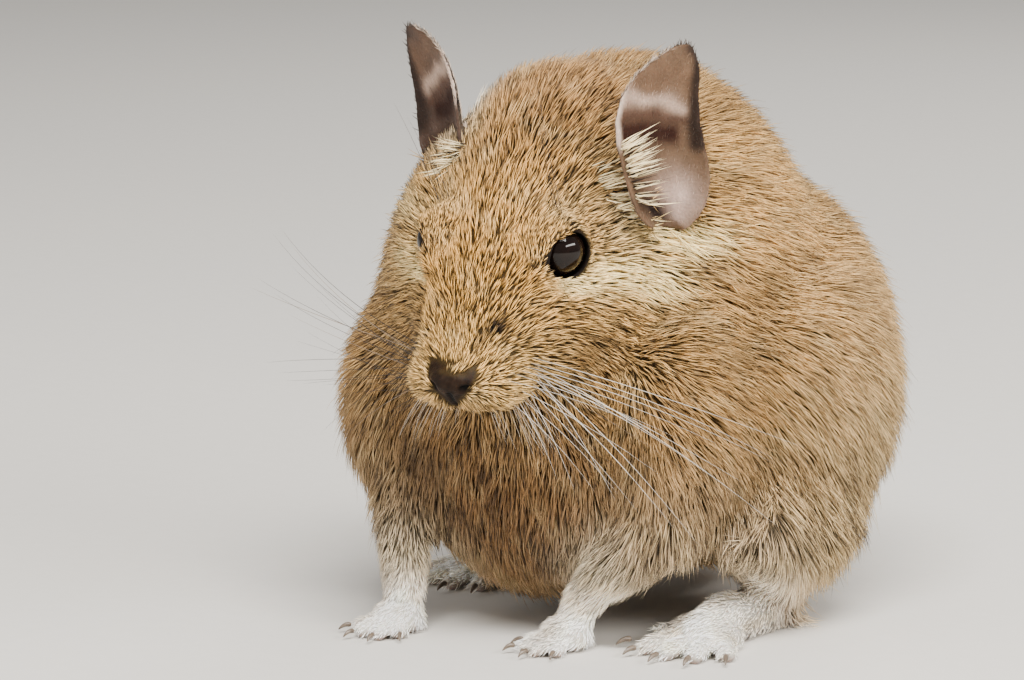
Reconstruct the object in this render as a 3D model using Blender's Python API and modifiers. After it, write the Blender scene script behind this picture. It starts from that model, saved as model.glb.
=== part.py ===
"""A life-size still model of a degu, crouched on all fours and looking ahead to its left.

The animal faces -Y, its left side is +X and the floor is z = 0. Sizes below are millimetres in a
frame whose x = 0 is the animal's midline, and `place` moves the finished parts to the row origin.
"""

import math
import random

import bmesh
import bpy
from mathutils import Matrix, Vector

MM = 0.001
GAP = 0.3
SEED = 7

# Where the row origin, the floor point under the middle of the whole box, lies in the animal's frame.
ORIGIN = Vector((-15.5, 40.2, 0.0))

# The skull: a point midway between the eyes, and how the head turns and nods.
EYE_LINE = Vector((1.5, -25.0, 65.0))
HEAD_YAW = math.radians(8.0)
HEAD_NOD = math.radians(34.0)
HEAD = Matrix.Translation(EYE_LINE) @ Matrix.Rotation(HEAD_YAW, 4, "Z") @ Matrix.Rotation(HEAD_NOD, 4, "X")

FLESH_VOXEL = 0.75
SOFTENING = {"head": 8, "body": 70}
FLESH_KEEP = 0.0145
FACE_DETAIL = 0.25

EYE_RADIUS = 4.1
EYE_OUT = 10.7
EYE_GAZE = (math.radians(60.0), math.radians(8.0))
LID_THICK = 0.7
APERTURE = (4.0, 3.75)

# The ears: the foot of each cup in the head's frame, the way the cup opens, its lean from upright,
# its rim as rows of (share of height, reach in front, reach behind), and how far behind its foot
# the swelling of the head lies that carries it.
EAR_FOOT = {1: (21.4, -13.2, -4.9), -1: (13.5, -14.6, -3.4)}
EAR_TURN = {1: math.radians(50.0), -1: math.radians(36.0)}
EAR_LEAN = {1: 0.19, -1: 0.46}
EAR_HEIGHT = 30.0
EAR_THICK = 0.8
EAR_RIM = (
    (0.0, 2.2, 2.4), (0.07, 4.8, 4.4), (0.16, 6.2, 5.6), (0.29, 7.8, 6.0), (0.43, 9.4, 5.0),
    (0.57, 10.4, 3.8), (0.71, 10.0, 3.2), (0.84, 8.2, 3.0), (0.94, 5.6, 2.6), (1.0, 3.0, 1.6),
)
EAR_COLS = 8
EAR_MOUND = 6.7


def fresh(name):
    """An empty collection of this name in an emptied scene."""
    made = bpy.data.collections.new(name)
    bpy.context.scene.collection.children.link(made)
    return made


for old in list(bpy.data.objects):
    bpy.data.objects.remove(old, do_unlink=True)
DEGU = fresh("degu")
CUTTERS = fresh("cutters")
CUTTERS.hide_render = True


def colour(code):
    """A colour written as sRGB hex, in linear light."""
    parts = [int(code[i : i + 2], 16) / 255 for i in (0, 2, 4)]
    return [c / 12.92 if c <= 0.04045 else ((c + 0.055) / 1.055) ** 2.4 for c in parts] + [1.0]


def material(name, code, rough):
    made = bpy.data.materials.new(name)
    made.use_nodes = True
    made.diffuse_color = colour(code)
    shader = made.node_tree.nodes["Principled BSDF"]
    shader.inputs["Base Color"].default_value = colour(code)
    shader.inputs["Roughness"].default_value = rough
    shader.inputs["Metallic"].default_value = 0.0
    return made


def as_object(bm, name, home=CUTTERS):
    """The bmesh as an object, freed of doubles and with its faces turned out."""
    bmesh.ops.remove_doubles(bm, verts=bm.verts, dist=0.0001)
    bmesh.ops.recalc_face_normals(bm, faces=bm.faces)
    mesh = bpy.data.meshes.new(name)
    bm.to_mesh(mesh)
    bm.free()
    made = bpy.data.objects.new(name, mesh)
    home.objects.link(made)
    if home is CUTTERS:
        made.hide_render = True
        made.display_type = "WIRE"
    return made


def add_ball(bm, centre, radii, turn=None, segments=24, rings=14):
    """An ellipsoid in the bmesh, turned about its centre."""
    turn = turn or Matrix()
    sizes = Matrix.Diagonal((*radii, 1.0))
    bmesh.ops.create_uvsphere(
        bm,
        u_segments=segments,
        v_segments=rings,
        radius=1.0,
        matrix=Matrix.Translation(Vector(centre)) @ turn @ sizes,
    )


def ball(name, centre, radii, turn=None, segments=24, rings=14):
    bm = bmesh.new()
    add_ball(bm, centre, radii, turn, segments, rings)
    return as_object(bm, name)


def tube(name, points, radii, sides=3, smooth=False):
    """A round bar through the points, swelling and tapering to the radii, with closed ends."""
    path = bpy.data.curves.new(name, "CURVE")
    path.dimensions = "3D"
    path.bevel_depth = 1.0
    path.bevel_resolution = sides
    path.use_fill_caps = True
    path.resolution_u = 4
    spline = path.splines.new("NURBS" if smooth else "POLY")
    spline.points.add(len(points) - 1)
    for spot, where, radius in zip(spline.points, points, radii):
        spot.co = (*where, 1.0)
        spot.radius = radius
    if smooth:
        spline.use_endpoint_u = True
        spline.order_u = 3
    guide = bpy.data.objects.new(name, path)
    CUTTERS.objects.link(guide)
    bpy.context.view_layer.update()
    graph = bpy.context.evaluated_depsgraph_get()
    mesh = bpy.data.meshes.new_from_object(guide.evaluated_get(graph))
    mesh.transform(guide.matrix_world)
    bpy.data.objects.remove(guide, do_unlink=True)
    bm = bmesh.new()
    bm.from_mesh(mesh)
    bpy.data.meshes.remove(mesh)
    return as_object(bm, name)


def prism(name, outline, half_width, frame=None):
    """The (y, z) outline carried sideways to both half widths."""
    bm = bmesh.new()
    ring = [bm.verts.new((-half_width, y, z)) for y, z in outline]
    side = bm.faces.new(ring)
    grown = bmesh.ops.extrude_face_region(bm, geom=[side])
    moved = [v for v in grown["geom"] if isinstance(v, bmesh.types.BMVert)]
    bmesh.ops.translate(bm, verts=moved, vec=(2 * half_width, 0, 0))
    bmesh.ops.transform(bm, matrix=frame or Matrix(), verts=bm.verts)
    return as_object(bm, name)


def wider(outline, by):
    """A convex outline, given counterclockwise, moved outward on every side."""
    lines = []
    for (ya, za), (yb, zb) in zip(outline, outline[1:] + outline[:1]):
        long = math.hypot(yb - ya, zb - za)
        out = ((zb - za) / long, -(yb - ya) / long)
        lines.append((out, out[0] * ya + out[1] * za + by))
    found = []
    for (m, a), (n, b) in zip(lines[-1:] + lines[:-1], lines):
        det = m[0] * n[1] - m[1] * n[0]
        found.append(((a * n[1] - b * m[1]) / det, (m[0] * b - n[0] * a) / det))
    return found


def settle(obj):
    """The object's modifiers become its mesh."""
    bpy.context.view_layer.update()
    graph = bpy.context.evaluated_depsgraph_get()
    mesh = bpy.data.meshes.new_from_object(obj.evaluated_get(graph))
    obj.modifiers.clear()
    old = obj.data
    obj.data = mesh
    bpy.data.meshes.remove(old)


def combine(obj, operation, other, solver="MANIFOLD"):
    """One Boolean with another mesh, applied."""
    step = obj.modifiers.new(operation.title(), "BOOLEAN")
    step.operation = operation
    step.solver = solver
    step.object = other
    settle(obj)


def twin(obj, name):
    made = bpy.data.objects.new(name, obj.data.copy())
    CUTTERS.objects.link(made)
    made.hide_render = True
    return made


def keep_largest(obj):
    """Drops every loose piece but the one of the largest volume."""
    bm = bmesh.new()
    bm.from_mesh(obj.data)
    bm.faces.ensure_lookup_table()
    left = set(bm.faces)
    best, most = None, 0.0
    while left:
        seed = left.pop()
        island, edge = {seed}, [seed]
        while edge:
            face = edge.pop()
            near = {f for e in face.edges for f in e.link_faces} - island
            island |= near
            edge.extend(near)
        left -= island
        volume = 0.0
        for face in island:
            a = face.verts[0].co
            for b, c in zip(face.verts[1:], face.verts[2:]):
                volume += a.dot(b.co.cross(c.co)) / 6
        if volume > most:
            best, most = island, volume
    bmesh.ops.delete(bm, geom=[f for f in bm.faces if f not in best], context="FACES")
    bm.to_mesh(obj.data)
    bm.free()


def part_off(body, name, region, margin):
    """Cuts the region out of the body as a new part and clears the margin from the body."""
    piece = twin(body, name)
    combine(piece, "INTERSECT", region)
    keep_largest(piece)
    combine(body, "DIFFERENCE", margin)
    keep_largest(body)
    return piece


def part_ball(body, name, centre, radii, turn=None):
    more = [r + GAP for r in radii]
    near = ball("in", centre, radii, turn, 18, 11)
    return part_off(body, name, near, ball("out", centre, more, turn, 18, 11))


def part_prism(body, name, outline, half_width, frame=None):
    inner = prism("in", outline, half_width, frame)
    outer = prism("out", wider(outline, GAP), half_width + GAP, frame)
    return part_off(body, name, inner, outer)


# The mass under the coat's outline: trunk, shoulders, haunches and neck as overlapping rounds.
# Each row is centre, radii and a pitch in degrees about X.
TRUNK = (
    ((0, 31, 39.5), (37, 32, 36.5), 0),
    ((0, 11, 50), (34, 34, 43.5), 0),
    ((-5, -4, 46), (31, 25, 43), 0),
    ((-1, -4, 66), (17, 18, 26), 0),
    ((0, -7, 32), (26, 20, 26), 0),
    ((32, 19, 37), (11, 24, 23.5), 0),
    ((-32, 24, 37), (11, 24, 23.5), 0),
    ((31, 15, 19.5), (11, 18, 14.5), 0),
    ((-31, 26, 20), (11, 18, 14), 0),
    ((25, -8, 36), (12, 15, 20), 0),
    ((-26, -12, 36), (12, 15, 20), 0),
)

# The head along the skull, forward of the eyes: (forward, top, bottom, half width).
SKULL = (
    (-36, 10, -26, 15),
    (-30, 12.8, -25, 18),
    (-22, 13.2, -23, 18.2),
    (-14, 11.8, -21.5, 17),
    (-7, 9.2, -20.5, 15.2),
    (0, 6.6, -20, 13.4),
    (6, 3.9, -19.3, 12.2),
    (12, 0.5, -18.2, 11.2),
    (17, -2.6, -16.8, 10.0),
    (21, -4.9, -15.2, 8.0),
    (24, -6.8, -13.2, 5.2),
)
SKULL_SIDES = 40

# The rounds that fill each cheek from the jaw's corner forward to the whisker pad: centre in the
# head's frame as across, ahead and above, then radii.
CHEEK = (
    ((11.4, -9.0, -11.5), (7.2, 11.0, 9.0)),
    ((11.9, -0.5, -13.0), (7.3, 11.8, 8.5)),
    ((9.5, 7.0, -12.3), (6.0, 8.5, 6.3)),
)

# Each forelimb: the arm's path and girths from shoulder to wrist, the palm's middle, the way the
# toes point in degrees about Z from straight ahead, and their lengths from the inner one outward.
FORELIMBS = {
    "left": {
        "arm": (
            [(25, -8, 32), (25, -14, 20), (20.5, -17, 15.0), (14.5, -19.5, 8.5), (13.8, -20.5, 5.5)],
            [9.0, 7.6, 5.6, 3.9, 3.2],
        ),
        "palm": (12.8, -22.0, 2.9),
        "toes": ((-62, 6.4), (-34, 8.2), (-8, 8.4), (20, 7.2)),
    },
    "right": {
        "arm": (
            [(-24, -12, 34), (-21, -20, 21), (-18.6, -24.5, 14.0), (-16.6, -27, 7), (-16.2, -27.4, 4.5)],
            [9.0, 7.4, 4.9, 3.8, 3.2],
        ),
        "palm": (-16.4, -28.6, 2.8),
        "toes": ((38, 6.4), (10, 8.2), (-16, 8.4), (-44, 7.2)),
    },
}
FORE_WRIST = 7.6

# Each hind limb: the shank from knee to heel, the heel on the floor and which way the sole points.
HINDLIMBS = {
    "left": {
        "shank": ([(33, -3, 24), (32.5, 8, 14), (31, 13.5, 6)], [9.0, 8.0, 4.6]),
        "heel": (30.8, 13.0),
        "heading": -2.0,
    },
    "right": {
        "shank": ([(-33, 14, 24), (-32, 26, 14), (-30, 33, 6)], [9.0, 8.0, 4.6]),
        "heel": (-29.5, 32.0),
        "heading": 3.0,
    },
}
HIND_SOLE = 24.0
HIND_TOES = ((-5.2, 6.6, 34), (-2.9, 9.6, 14), (0.0, 10.4, 0), (2.9, 9.4, -14), (5.2, 6.2, -34))
ANKLE = 8.4

TAIL_ROOT = ([(0, 46, 28), (0, 57, 16), (-1.5, 65, 8), (-3, 71, 4.6)], [17.0, 10.0, 5.8, 4.6])
TAIL_PATH = (
    (-1.5, 65, 7.5), (-3.5, 71.5, 4.2), (-9, 82, 3.6), (-19, 94, 3.4), (-32, 103, 3.3),
    (-46, 109, 3.3), (-59, 112.5, 3.1), (-70, 115, 2.7), (-78, 116.5, 1.7),
)
TAIL_GIRTH = (4.8, 4.4, 3.9, 3.7, 3.6, 3.6, 3.4, 2.9, 1.2)

# The brush: locks of long hair that leave the tail's last third all round but below.
LOCKS = 24
LOCK_LONG = (12.0, 17.0)
LOCK_WIDE = 1.25
LOCK_THICK = 0.6

# The whiskers: a pad on each side of the muzzle, then for each row from the top the way its hairs
# leave the pad, the way they end, and their length.
WHISKER_PAD = (8.6, 18.4, -11.4)
WHISKER_PAD_SIZE = (3.3, 4.4, 3.3)
WHISKER_ROWS = {
    1: (
        ((0.90, 0.10, -0.10), (0.66, 0.50, -0.38), 56.0),
        ((0.88, 0.10, -0.30), (0.62, 0.50, -0.62), 52.0),
        ((0.80, 0.08, -0.52), (0.52, 0.42, -0.85), 42.0),
        ((0.62, 0.00, -0.75), (0.34, 0.30, -1.00), 26.0),
    ),
    -1: (
        ((-0.90, -0.10, 0.34), (-0.80, 0.30, 0.42), 46.0),
        ((-0.92, -0.14, 0.16), (-0.82, 0.26, 0.14), 48.0),
        ((-0.92, -0.16, -0.06), (-0.80, 0.22, -0.16), 42.0),
        ((-0.86, -0.16, -0.34), (-0.66, 0.20, -0.60), 30.0),
    ),
}
WHISKER_THICK = 0.36


def in_head(x, forward, z):
    return HEAD @ Vector((x, -forward, z))


def add_mesh(obj, other):
    """Adds the other object's faces to this one's, without a Boolean."""
    bm = bmesh.new()
    bm.from_mesh(obj.data)
    bm.from_mesh(other.data)
    bm.to_mesh(obj.data)
    bm.free()
    bpy.data.objects.remove(other, do_unlink=True)


def head_loft(bm):
    """The skull's sections as closed rounds joined ring to ring."""
    rings = []
    for forward, top, bottom, half in SKULL:
        middle, tall = (top + bottom) / 2, (top - bottom) / 2
        ring = []
        for i in range(SKULL_SIDES):
            turn = 2 * math.pi * i / SKULL_SIDES
            c, s = math.cos(turn), math.sin(turn)
            across = half * math.copysign(abs(c) ** 0.92, c)
            up = middle + tall * math.copysign(abs(s) ** 0.92, s)
            ring.append(bm.verts.new(in_head(across, forward, up)))
        rings.append(ring)
    for a, b in zip(rings, rings[1:]):
        for i in range(SKULL_SIDES):
            j = (i + 1) % SKULL_SIDES
            bm.faces.new((a[i], a[j], b[j], b[i]))
    bm.faces.new(rings[0])
    bm.faces.new(rings[-1])


def share(obj, name, weight):
    """A vertex group holding the weight that the function gives each vertex's place."""
    group = obj.vertex_groups.new(name=name)
    levels = {}
    for vert in obj.data.vertices:
        levels.setdefault(round(weight(vert.co), 1), []).append(vert.index)
    for level, members in levels.items():
        group.add(members, level, "REPLACE")


def away_from_face(co):
    """From 0 around the face and 0.1 by the floor up to 1 on the trunk."""
    above = min(max((co.z - 14) / 14, 0.1), 1.0)
    return above * min(max(((co - EYE_LINE).length - 24) / 12, 0.0), 1.0)


def plainness(co):
    return 0.5 + 0.5 * min(max(((co - EYE_LINE).length - 24) / 12, 0.0), 1.0)


def build_flesh():
    """Trunk, head and upper limbs fused into one smooth closed surface."""
    bm = bmesh.new()
    tilt = HEAD.to_3x3().to_4x4()
    for centre, radii, pitch in TRUNK:
        add_ball(bm, centre, radii, Matrix.Rotation(math.radians(pitch), 4, "X"), 64, 40)
    head_loft(bm)
    for side in (-1, 1):
        add_ball(bm, in_head(side * 4.7, 19.0, -10.8), (6.2, 6.2, 4.8), tilt, 48, 30)
        add_ball(bm, in_head(side * 9.5, -1.0, -0.3), (4.2, 9.0, 6.2), tilt, 48, 30)
        for centre, radii in CHEEK:
            across, ahead, above = centre
            add_ball(bm, in_head(side * across, ahead, above), radii, tilt, 48, 30)
        foot, rear, face, up = ear_shape(side)
        add_ball(bm, foot + up * 7.0 - rear * 1.5 - face * EAR_MOUND, [EAR_MOUND] * 3, None, 48, 30)
    add_ball(bm, in_head(0, 15.5, -15.6), (4.6, 4.6, 3.0), tilt, 48, 30)
    add_ball(bm, in_head(0, 21.6, -9.2), (5.4, 3.6, 4.0), tilt, 48, 30)
    flesh = as_object(bm, "flesh")
    for limb in FORELIMBS.values():
        add_mesh(flesh, tube("arm", *limb["arm"], 6))
    for limb in HINDLIMBS.values():
        add_mesh(flesh, tube("shank", *limb["shank"], 6))
    add_mesh(flesh, tube("rump", *TAIL_ROOT, 6))
    fuse = flesh.modifiers.new("Fuse", "REMESH")
    fuse.mode = "VOXEL"
    fuse.voxel_size = FLESH_VOXEL
    settle(flesh)
    keep_largest(flesh)
    share(flesh, "body", away_from_face)
    for name, rounds in SOFTENING.items():
        soften = flesh.modifiers.new(name, "SMOOTH")
        soften.factor = 0.5
        soften.iterations = rounds
        if name == "body":
            soften.vertex_group = "body"
    settle(flesh)
    share(flesh, "plain", plainness)
    thin = flesh.modifiers.new("Thin", "DECIMATE")
    thin.ratio = FLESH_KEEP
    thin.vertex_group = "plain"
    thin.vertex_group_factor = FACE_DETAIL
    settle(flesh)
    flesh.vertex_groups.clear()
    return flesh


def toe(name, root, tip, thick, thin):
    """A toe that arches from its root down to a pad on the floor, its end a blunt dome."""
    root, tip = Vector(root), Vector(tip)
    mid = root.lerp(tip, 0.5) + Vector((0, 0, 0.5))
    knuckle = root.lerp(tip, 0.78) + Vector((0, 0, 0.35))
    points = [root, root.lerp(tip, 0.25) + Vector((0, 0, 0.35)), mid, knuckle, tip]
    return tube(name, points, [thick, thick * 1.0, thick * 0.92, thick * 0.95, thin], 1)


def forefoot(side):
    """The palm, its four toes and where each claw leaves its toe."""
    limb = FORELIMBS[side]
    palm = Vector(limb["palm"])
    foot = ball("foot", palm, (4.3, 4.7, 3.1), None, 14, 8)
    wrist = tube("wrist", [palm + Vector((0, 1.0, 0.3)), *limb["arm"][0][-2:][::-1]], [2.9, 3.2, 3.6], 3)
    combine(foot, "UNION", wrist)
    claws = []
    for turn, long in limb["toes"]:
        way = Vector((math.sin(math.radians(turn)), -math.cos(math.radians(turn)), 0))
        root = palm + way * 1.6 + Vector((0, 0, -0.9))
        tip = palm + way * long
        tip.z = 1.0
        combine(foot, "UNION", toe("toe", root, tip, 1.55, 1.2))
        claws.append((tip, way))
    return foot, claws


def hindfoot(side):
    """The long sole, its five toes and where each claw leaves its toe."""
    limb = HINDLIMBS[side]
    turn = Matrix.Rotation(math.radians(limb["heading"]), 3, "Z")
    heel = Vector((*limb["heel"], 0))

    def at(across, forward, up):
        return heel + turn @ Vector((across, -forward, up))

    path = [at(0, -1.5, 4.4), at(0, 6, 4.2), at(0, 15, 4.0), at(0, HIND_SOLE - 2, 3.2)]
    foot = tube("foot", path, [3.4, 3.9, 4.4, 3.4], 3)
    ball_of_foot = ball("pad", at(0, HIND_SOLE - 3.5, 2.6), (6.5, 5.4, 3.2), turn.to_4x4(), 14, 8)
    combine(foot, "UNION", ball_of_foot)
    combine(foot, "UNION", ball("heel", at(0, 0, 3.6), (3.9, 4.4, 3.9), None, 12, 7))
    claws = []
    for across, long, splay in HIND_TOES:
        angle = math.radians(-splay)
        way = turn @ Vector((math.sin(angle), -math.cos(angle), 0))
        root = at(across * 0.8, HIND_SOLE - 3.5, 2.2)
        tip = root + way * (long + 2.0)
        tip.z = 1.05
        combine(foot, "UNION", toe("toe", root, tip, 1.75, 1.3))
        claws.append((tip, way))
    return foot, claws


def claw(name, tip, way, long, thick):
    """A curved, tapering claw that starts a gap in front of its toe."""
    start = tip + way * (GAP + 0.45) + Vector((0, 0, 0.1))
    path = [
        start + Vector((0, 0, 0.25)),
        start + way * long * 0.45 + Vector((0, 0, 0.35)),
        start + way * long * 0.8 + Vector((0, 0, -0.1)),
        start + way * long + Vector((0, 0, -0.55)),
    ]
    return tube(name, path, [thick, thick * 0.85, thick * 0.5, thick * 0.18], 0)


def ear_shape(side):
    """How an ear stands: the foot of its cup, and its frame of rearward, opening and upward directions."""
    across, ahead, above = EAR_FOOT[side]
    foot = in_head(side * across, ahead, above)
    up = Vector((side * EAR_LEAN[side], -0.02, 1.0)).normalized()
    turn = Matrix.Rotation(HEAD_YAW, 3, "Z")
    face = turn @ Vector((side * math.sin(EAR_TURN[side]), -math.cos(EAR_TURN[side]), 0.1))
    face = (face - up * face.dot(up)).normalized()
    return foot, up.cross(face) * side, face, up


def ear(side, more=0.0):
    """A thin cup: a leaf of skin, broad in front and straighter behind, dished toward its opening."""
    foot, rear, face, up = ear_shape(side)
    rows = []
    bm = bmesh.new()
    for v, front, behind in EAR_RIM:
        deep = 3.6 * (1 - v) ** 0.8 + 2.0 * math.sin(math.pi * v)
        row = []
        for j in range(EAR_COLS + 1):
            w = 2 * j / EAR_COLS - 1
            reach = front if w < 0 else behind
            bend = w * (1.0 + 0.3 * (1 - v)) * (1 + 1.7 * more / reach)
            x = reach * math.sin(bend * 1.05) / math.sin(1.05)
            y = deep * (0.8 - math.cos(bend * 1.05)) + 2.2 * (1 - v) ** 3
            z = (EAR_HEIGHT + 2 * more) * v * (1 - 0.05 * w * w * v) - more
            row.append(bm.verts.new(foot + rear * x + face * y + up * z))
        rows.append(row)
    for a, b in zip(rows, rows[1:]):
        for j in range(EAR_COLS):
            bm.faces.new((a[j], a[j + 1], b[j + 1], b[j]))
    leaf = as_object(bm, "ear")
    shell = leaf.modifiers.new("Skin", "SOLIDIFY")
    shell.thickness = EAR_THICK + 2 * more
    shell.offset = 0.0
    shell.use_even_offset = False
    settle(leaf)
    stalk = foot + up * 7.5 - rear * 1.5 - face * 4.6
    base = ball("root", stalk, [4.6 + more] * 3, None, 12, 8)
    combine(base, "UNION", leaf)
    return base


def eye_frame(side):
    """The eye's centre and its axes: gaze outward, then the lids' length and height."""
    yaw, rise = EYE_GAZE
    gaze = Vector((side * math.sin(yaw) * math.cos(rise), -math.cos(yaw) * math.cos(rise), math.sin(rise)))
    gaze = HEAD.to_3x3() @ gaze
    up = HEAD.to_3x3() @ Vector((0, 0, 1))
    up = (up - gaze * up.dot(gaze)).normalized()
    return in_head(side * EYE_OUT, 0, 0), gaze, gaze.cross(up), up


def almond(name, side, half_long, half_tall, depth):
    """A bar of almond section along the gaze, widening outward."""
    centre, gaze, along, up = eye_frame(side)
    bm = bmesh.new()
    rings = []
    for out, size in ((0.5, 0.8), (depth, 1.25)):
        ring = []
        for i in range(24):
            turn = 2 * math.pi * i / 24
            c, s = math.cos(turn), math.sin(turn)
            x = half_long * c * size
            y = half_tall * math.copysign(abs(s) ** 1.15, s) * size
            x -= side * 0.10 * y
            ring.append(bm.verts.new(centre + gaze * out + along * x + up * y))
        rings.append(ring)
    for i in range(24):
        j = (i + 1) % 24
        bm.faces.new((rings[0][i], rings[0][j], rings[1][j], rings[1][i]))
    bm.faces.new(rings[0])
    bm.faces.new(rings[1])
    return as_object(bm, name)


def across_face(points, radius, name):
    """A bar over the muzzle through points of the head's frame and their mirror images."""
    whole = [in_head(-x, f, z) for x, f, z in reversed(points) if x > 0]
    whole += [in_head(x, f, z) for x, f, z in points]
    return tube(name, whole, [radius] * len(whole), 2)


NOSE = (23.6, -8.4)
MOUTH = ((0.0, 21.4, -14.6), (2.0, 20.9, -14.7), (4.2, 19.2, -15.3), (6.4, 16.4, -15.6), (7.8, 13.0, -15.0))


def finish(obj, name, paint):
    """The object as a finished part: named, painted, smooth and in the row's place."""
    if obj.name in CUTTERS.objects:
        CUTTERS.objects.unlink(obj)
    DEGU.objects.link(obj)
    obj.name = name
    obj.data.name = name
    obj.hide_render = False
    obj.display_type = "TEXTURED"
    obj.data.transform(Matrix.Scale(MM, 4) @ Matrix.Translation(-ORIGIN))
    obj.data.materials.clear()
    obj.data.materials.append(paint)
    obj.data.shade_smooth()
    obj.data.set_sharp_from_angle(angle=math.radians(40))


FUR = material("agouti coat", "AF9169", 0.85)
PALE = material("pale foot fur", "DCD7CD", 0.85)
EAR_SKIN = material("ear skin", "96827A", 0.7)
EYE_BLACK = material("eye", "0A0808", 0.08)
NOSE_SKIN = material("nose skin", "3A2E2A", 0.55)
CLAW_HORN = material("claw horn", "4A3E36", 0.4)
BRUSH_HAIR = material("tail brush hair", "2A2320", 0.8)


def part_beyond(body, name, point, heading):
    """Parts off all that lies beyond a plane, facing the heading in degrees about Z from +Y."""
    frame = Matrix.Translation(Vector(point)) @ Matrix.Rotation(math.radians(heading), 4, "Z")
    return part_prism(body, name, [(0, -60), (160, -60), (160, 60), (0, 60)], 90, frame)


def part_shape(body, name, maker):
    """Parts off a region that the maker builds at its own size and again wider by the gap."""
    return part_off(body, name, maker(0.0), maker(GAP))


def muzzle_pad(side, more):
    """The bulge that carries the whiskers on one side of the muzzle."""
    across, ahead, above = WHISKER_PAD
    return ball("pad", in_head(side * across, ahead, above), [r + more for r in WHISKER_PAD_SIZE], tilt, 14, 8)


def fuse_all(body, pieces):
    """Unites every piece with the body in one Boolean over their collection, then drops them."""
    gathered = fresh("gathered")
    gathered.hide_render = True
    for piece in pieces:
        CUTTERS.objects.unlink(piece)
        gathered.objects.link(piece)
    fusing = body.modifiers.new("Fuse", "BOOLEAN")
    fusing.operation = "UNION"
    fusing.operand_type = "COLLECTION"
    fusing.collection = gathered
    fusing.solver = "MANIFOLD"
    settle(body)
    for piece in list(gathered.objects):
        bpy.data.objects.remove(piece, do_unlink=True)
    bpy.data.collections.remove(gathered)
    keep_largest(body)


def whiskers(side):
    """Four rows of two tapering hairs, rooted in their pad and arching outward."""
    across, ahead, above = WHISKER_PAD
    made = []
    for row, (leaving, ending, long) in enumerate(WHISKER_ROWS[side]):
        for rank in range(2):
            root = in_head(side * (across - 0.6 - 1.0 * rank), ahead - 1.6 + 3.0 * rank, above + 1.9 - 1.25 * row)
            a, b = Vector(leaving).normalized(), Vector(ending).normalized()
            b = (b + Vector((0, -0.16 * rank, 0.05 * rank))).normalized()
            reach = long * (1 - 0.16 * rank)
            steps = (0.0, 0.22, 0.48, 0.75, 1.0)
            points = [root + (a * t + (b - a) * (t * t / 2)) * reach for t in steps]
            girths = [WHISKER_THICK * g for g in (1.0, 0.95, 0.85, 0.7, 0.2)]
            made.append(tube("whisker", points, girths, 0))
    return made


def lock(root, way, out, long):
    """A flat lock of hair: four-sided, tapering, leaving along its way and sinking back toward the tail."""
    flat = way.cross(out).normalized()
    bm = bmesh.new()
    rings = []
    for t, wide in ((0.0, 0.8), (0.36, 1.0), (0.72, 0.66)):
        middle = root + way * (long * t) + out * (long * (0.36 * t - 0.15 * t * t))
        thick = LOCK_THICK * (1.0 - 0.25 * t)
        corners = (flat * LOCK_WIDE * wide, out * thick, -flat * LOCK_WIDE * wide, -out * thick)
        rings.append([bm.verts.new(middle + c) for c in corners])
    tip = bm.verts.new(root + way * long + out * (long * 0.21))
    bm.faces.new(rings[0])
    for a, b in zip(rings, rings[1:]):
        for i in range(4):
            j = (i + 1) % 4
            bm.faces.new((a[i], a[j], b[j], b[i]))
    for i in range(4):
        bm.faces.new((rings[-1][i], rings[-1][(i + 1) % 4], tip))
    return as_object(bm, "lock")


def brush_locks():
    """Locks spread along the brush and round its top and sides, each rooted inside the tail."""
    chance = random.Random(SEED)
    path = [Vector(p) for p in TAIL_PATH[-4:]]
    made = []
    for i in range(LOCKS):
        along = 0.16 + 2.7 * (i / LOCKS)
        step = min(int(along), 2)
        root = path[step].lerp(path[step + 1], along - step)
        girth = TAIL_GIRTH[step - 4] + (TAIL_GIRTH[step - 3] - TAIL_GIRTH[step - 4]) * (along - step)
        way = (path[step + 1] - path[step]).normalized()
        level = way.cross(Vector((0, 0, 1))).normalized()
        turn = math.radians(90 + 100 * math.sin(i * 2.4) + chance.uniform(-8, 8))
        out = (level * math.cos(turn) + Vector((0, 0, 1)) * math.sin(turn)).normalized()
        out = (out - way * out.dot(way)).normalized()
        long = chance.uniform(*LOCK_LONG)
        made.append(lock(root + out * girth * 0.72 - way * 1.0, way, out, long))
    return made


def low_box(name, middle, half, top, more):
    """An upright box over the floor around (x, y)."""
    outline = [(-half[1], -2), (half[1], -2), (half[1], top), (-half[1], top)]
    frame = Matrix.Translation(Vector((*middle, 0)))
    return prism(name, wider(outline, more) if more else outline, half[0] + more, frame)


def arm_region(side, more):
    """Around one shoulder and down its arm."""
    points, girths = FORELIMBS[side]["arm"]
    shoulder = Vector(points[0]) + Vector((2.5 if side == "left" else -2.5, -1, 1))
    region = ball("shoulder", shoulder, [r + more for r in (12, 15, 17)], None, 14, 9)
    down = tube("down", points, [g + 2.6 + more for g in girths], 3)
    combine(region, "UNION", down)
    return region


def thigh_region(side, more):
    """Around one thigh and down to its heel."""
    points, girths = HINDLIMBS[side]["shank"]
    middle = (34, 18, 31) if side == "left" else (-34, 24, 31)
    region = ball("thigh", middle, [r + more for r in (14, 26, 26)], None, 16, 10)
    down = tube("down", points, [g + 2.6 + more for g in girths], 3)
    combine(region, "UNION", down)
    return region


body = build_flesh()
fore = {side: forefoot(side) for side in FORELIMBS}
hind = {side: hindfoot(side) for side in HINDLIMBS}
for foot, _ in [*fore.values(), *hind.values()]:
    combine(body, "UNION", foot)
combine(body, "UNION", tube("tail", TAIL_PATH, TAIL_GIRTH, 3))

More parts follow.
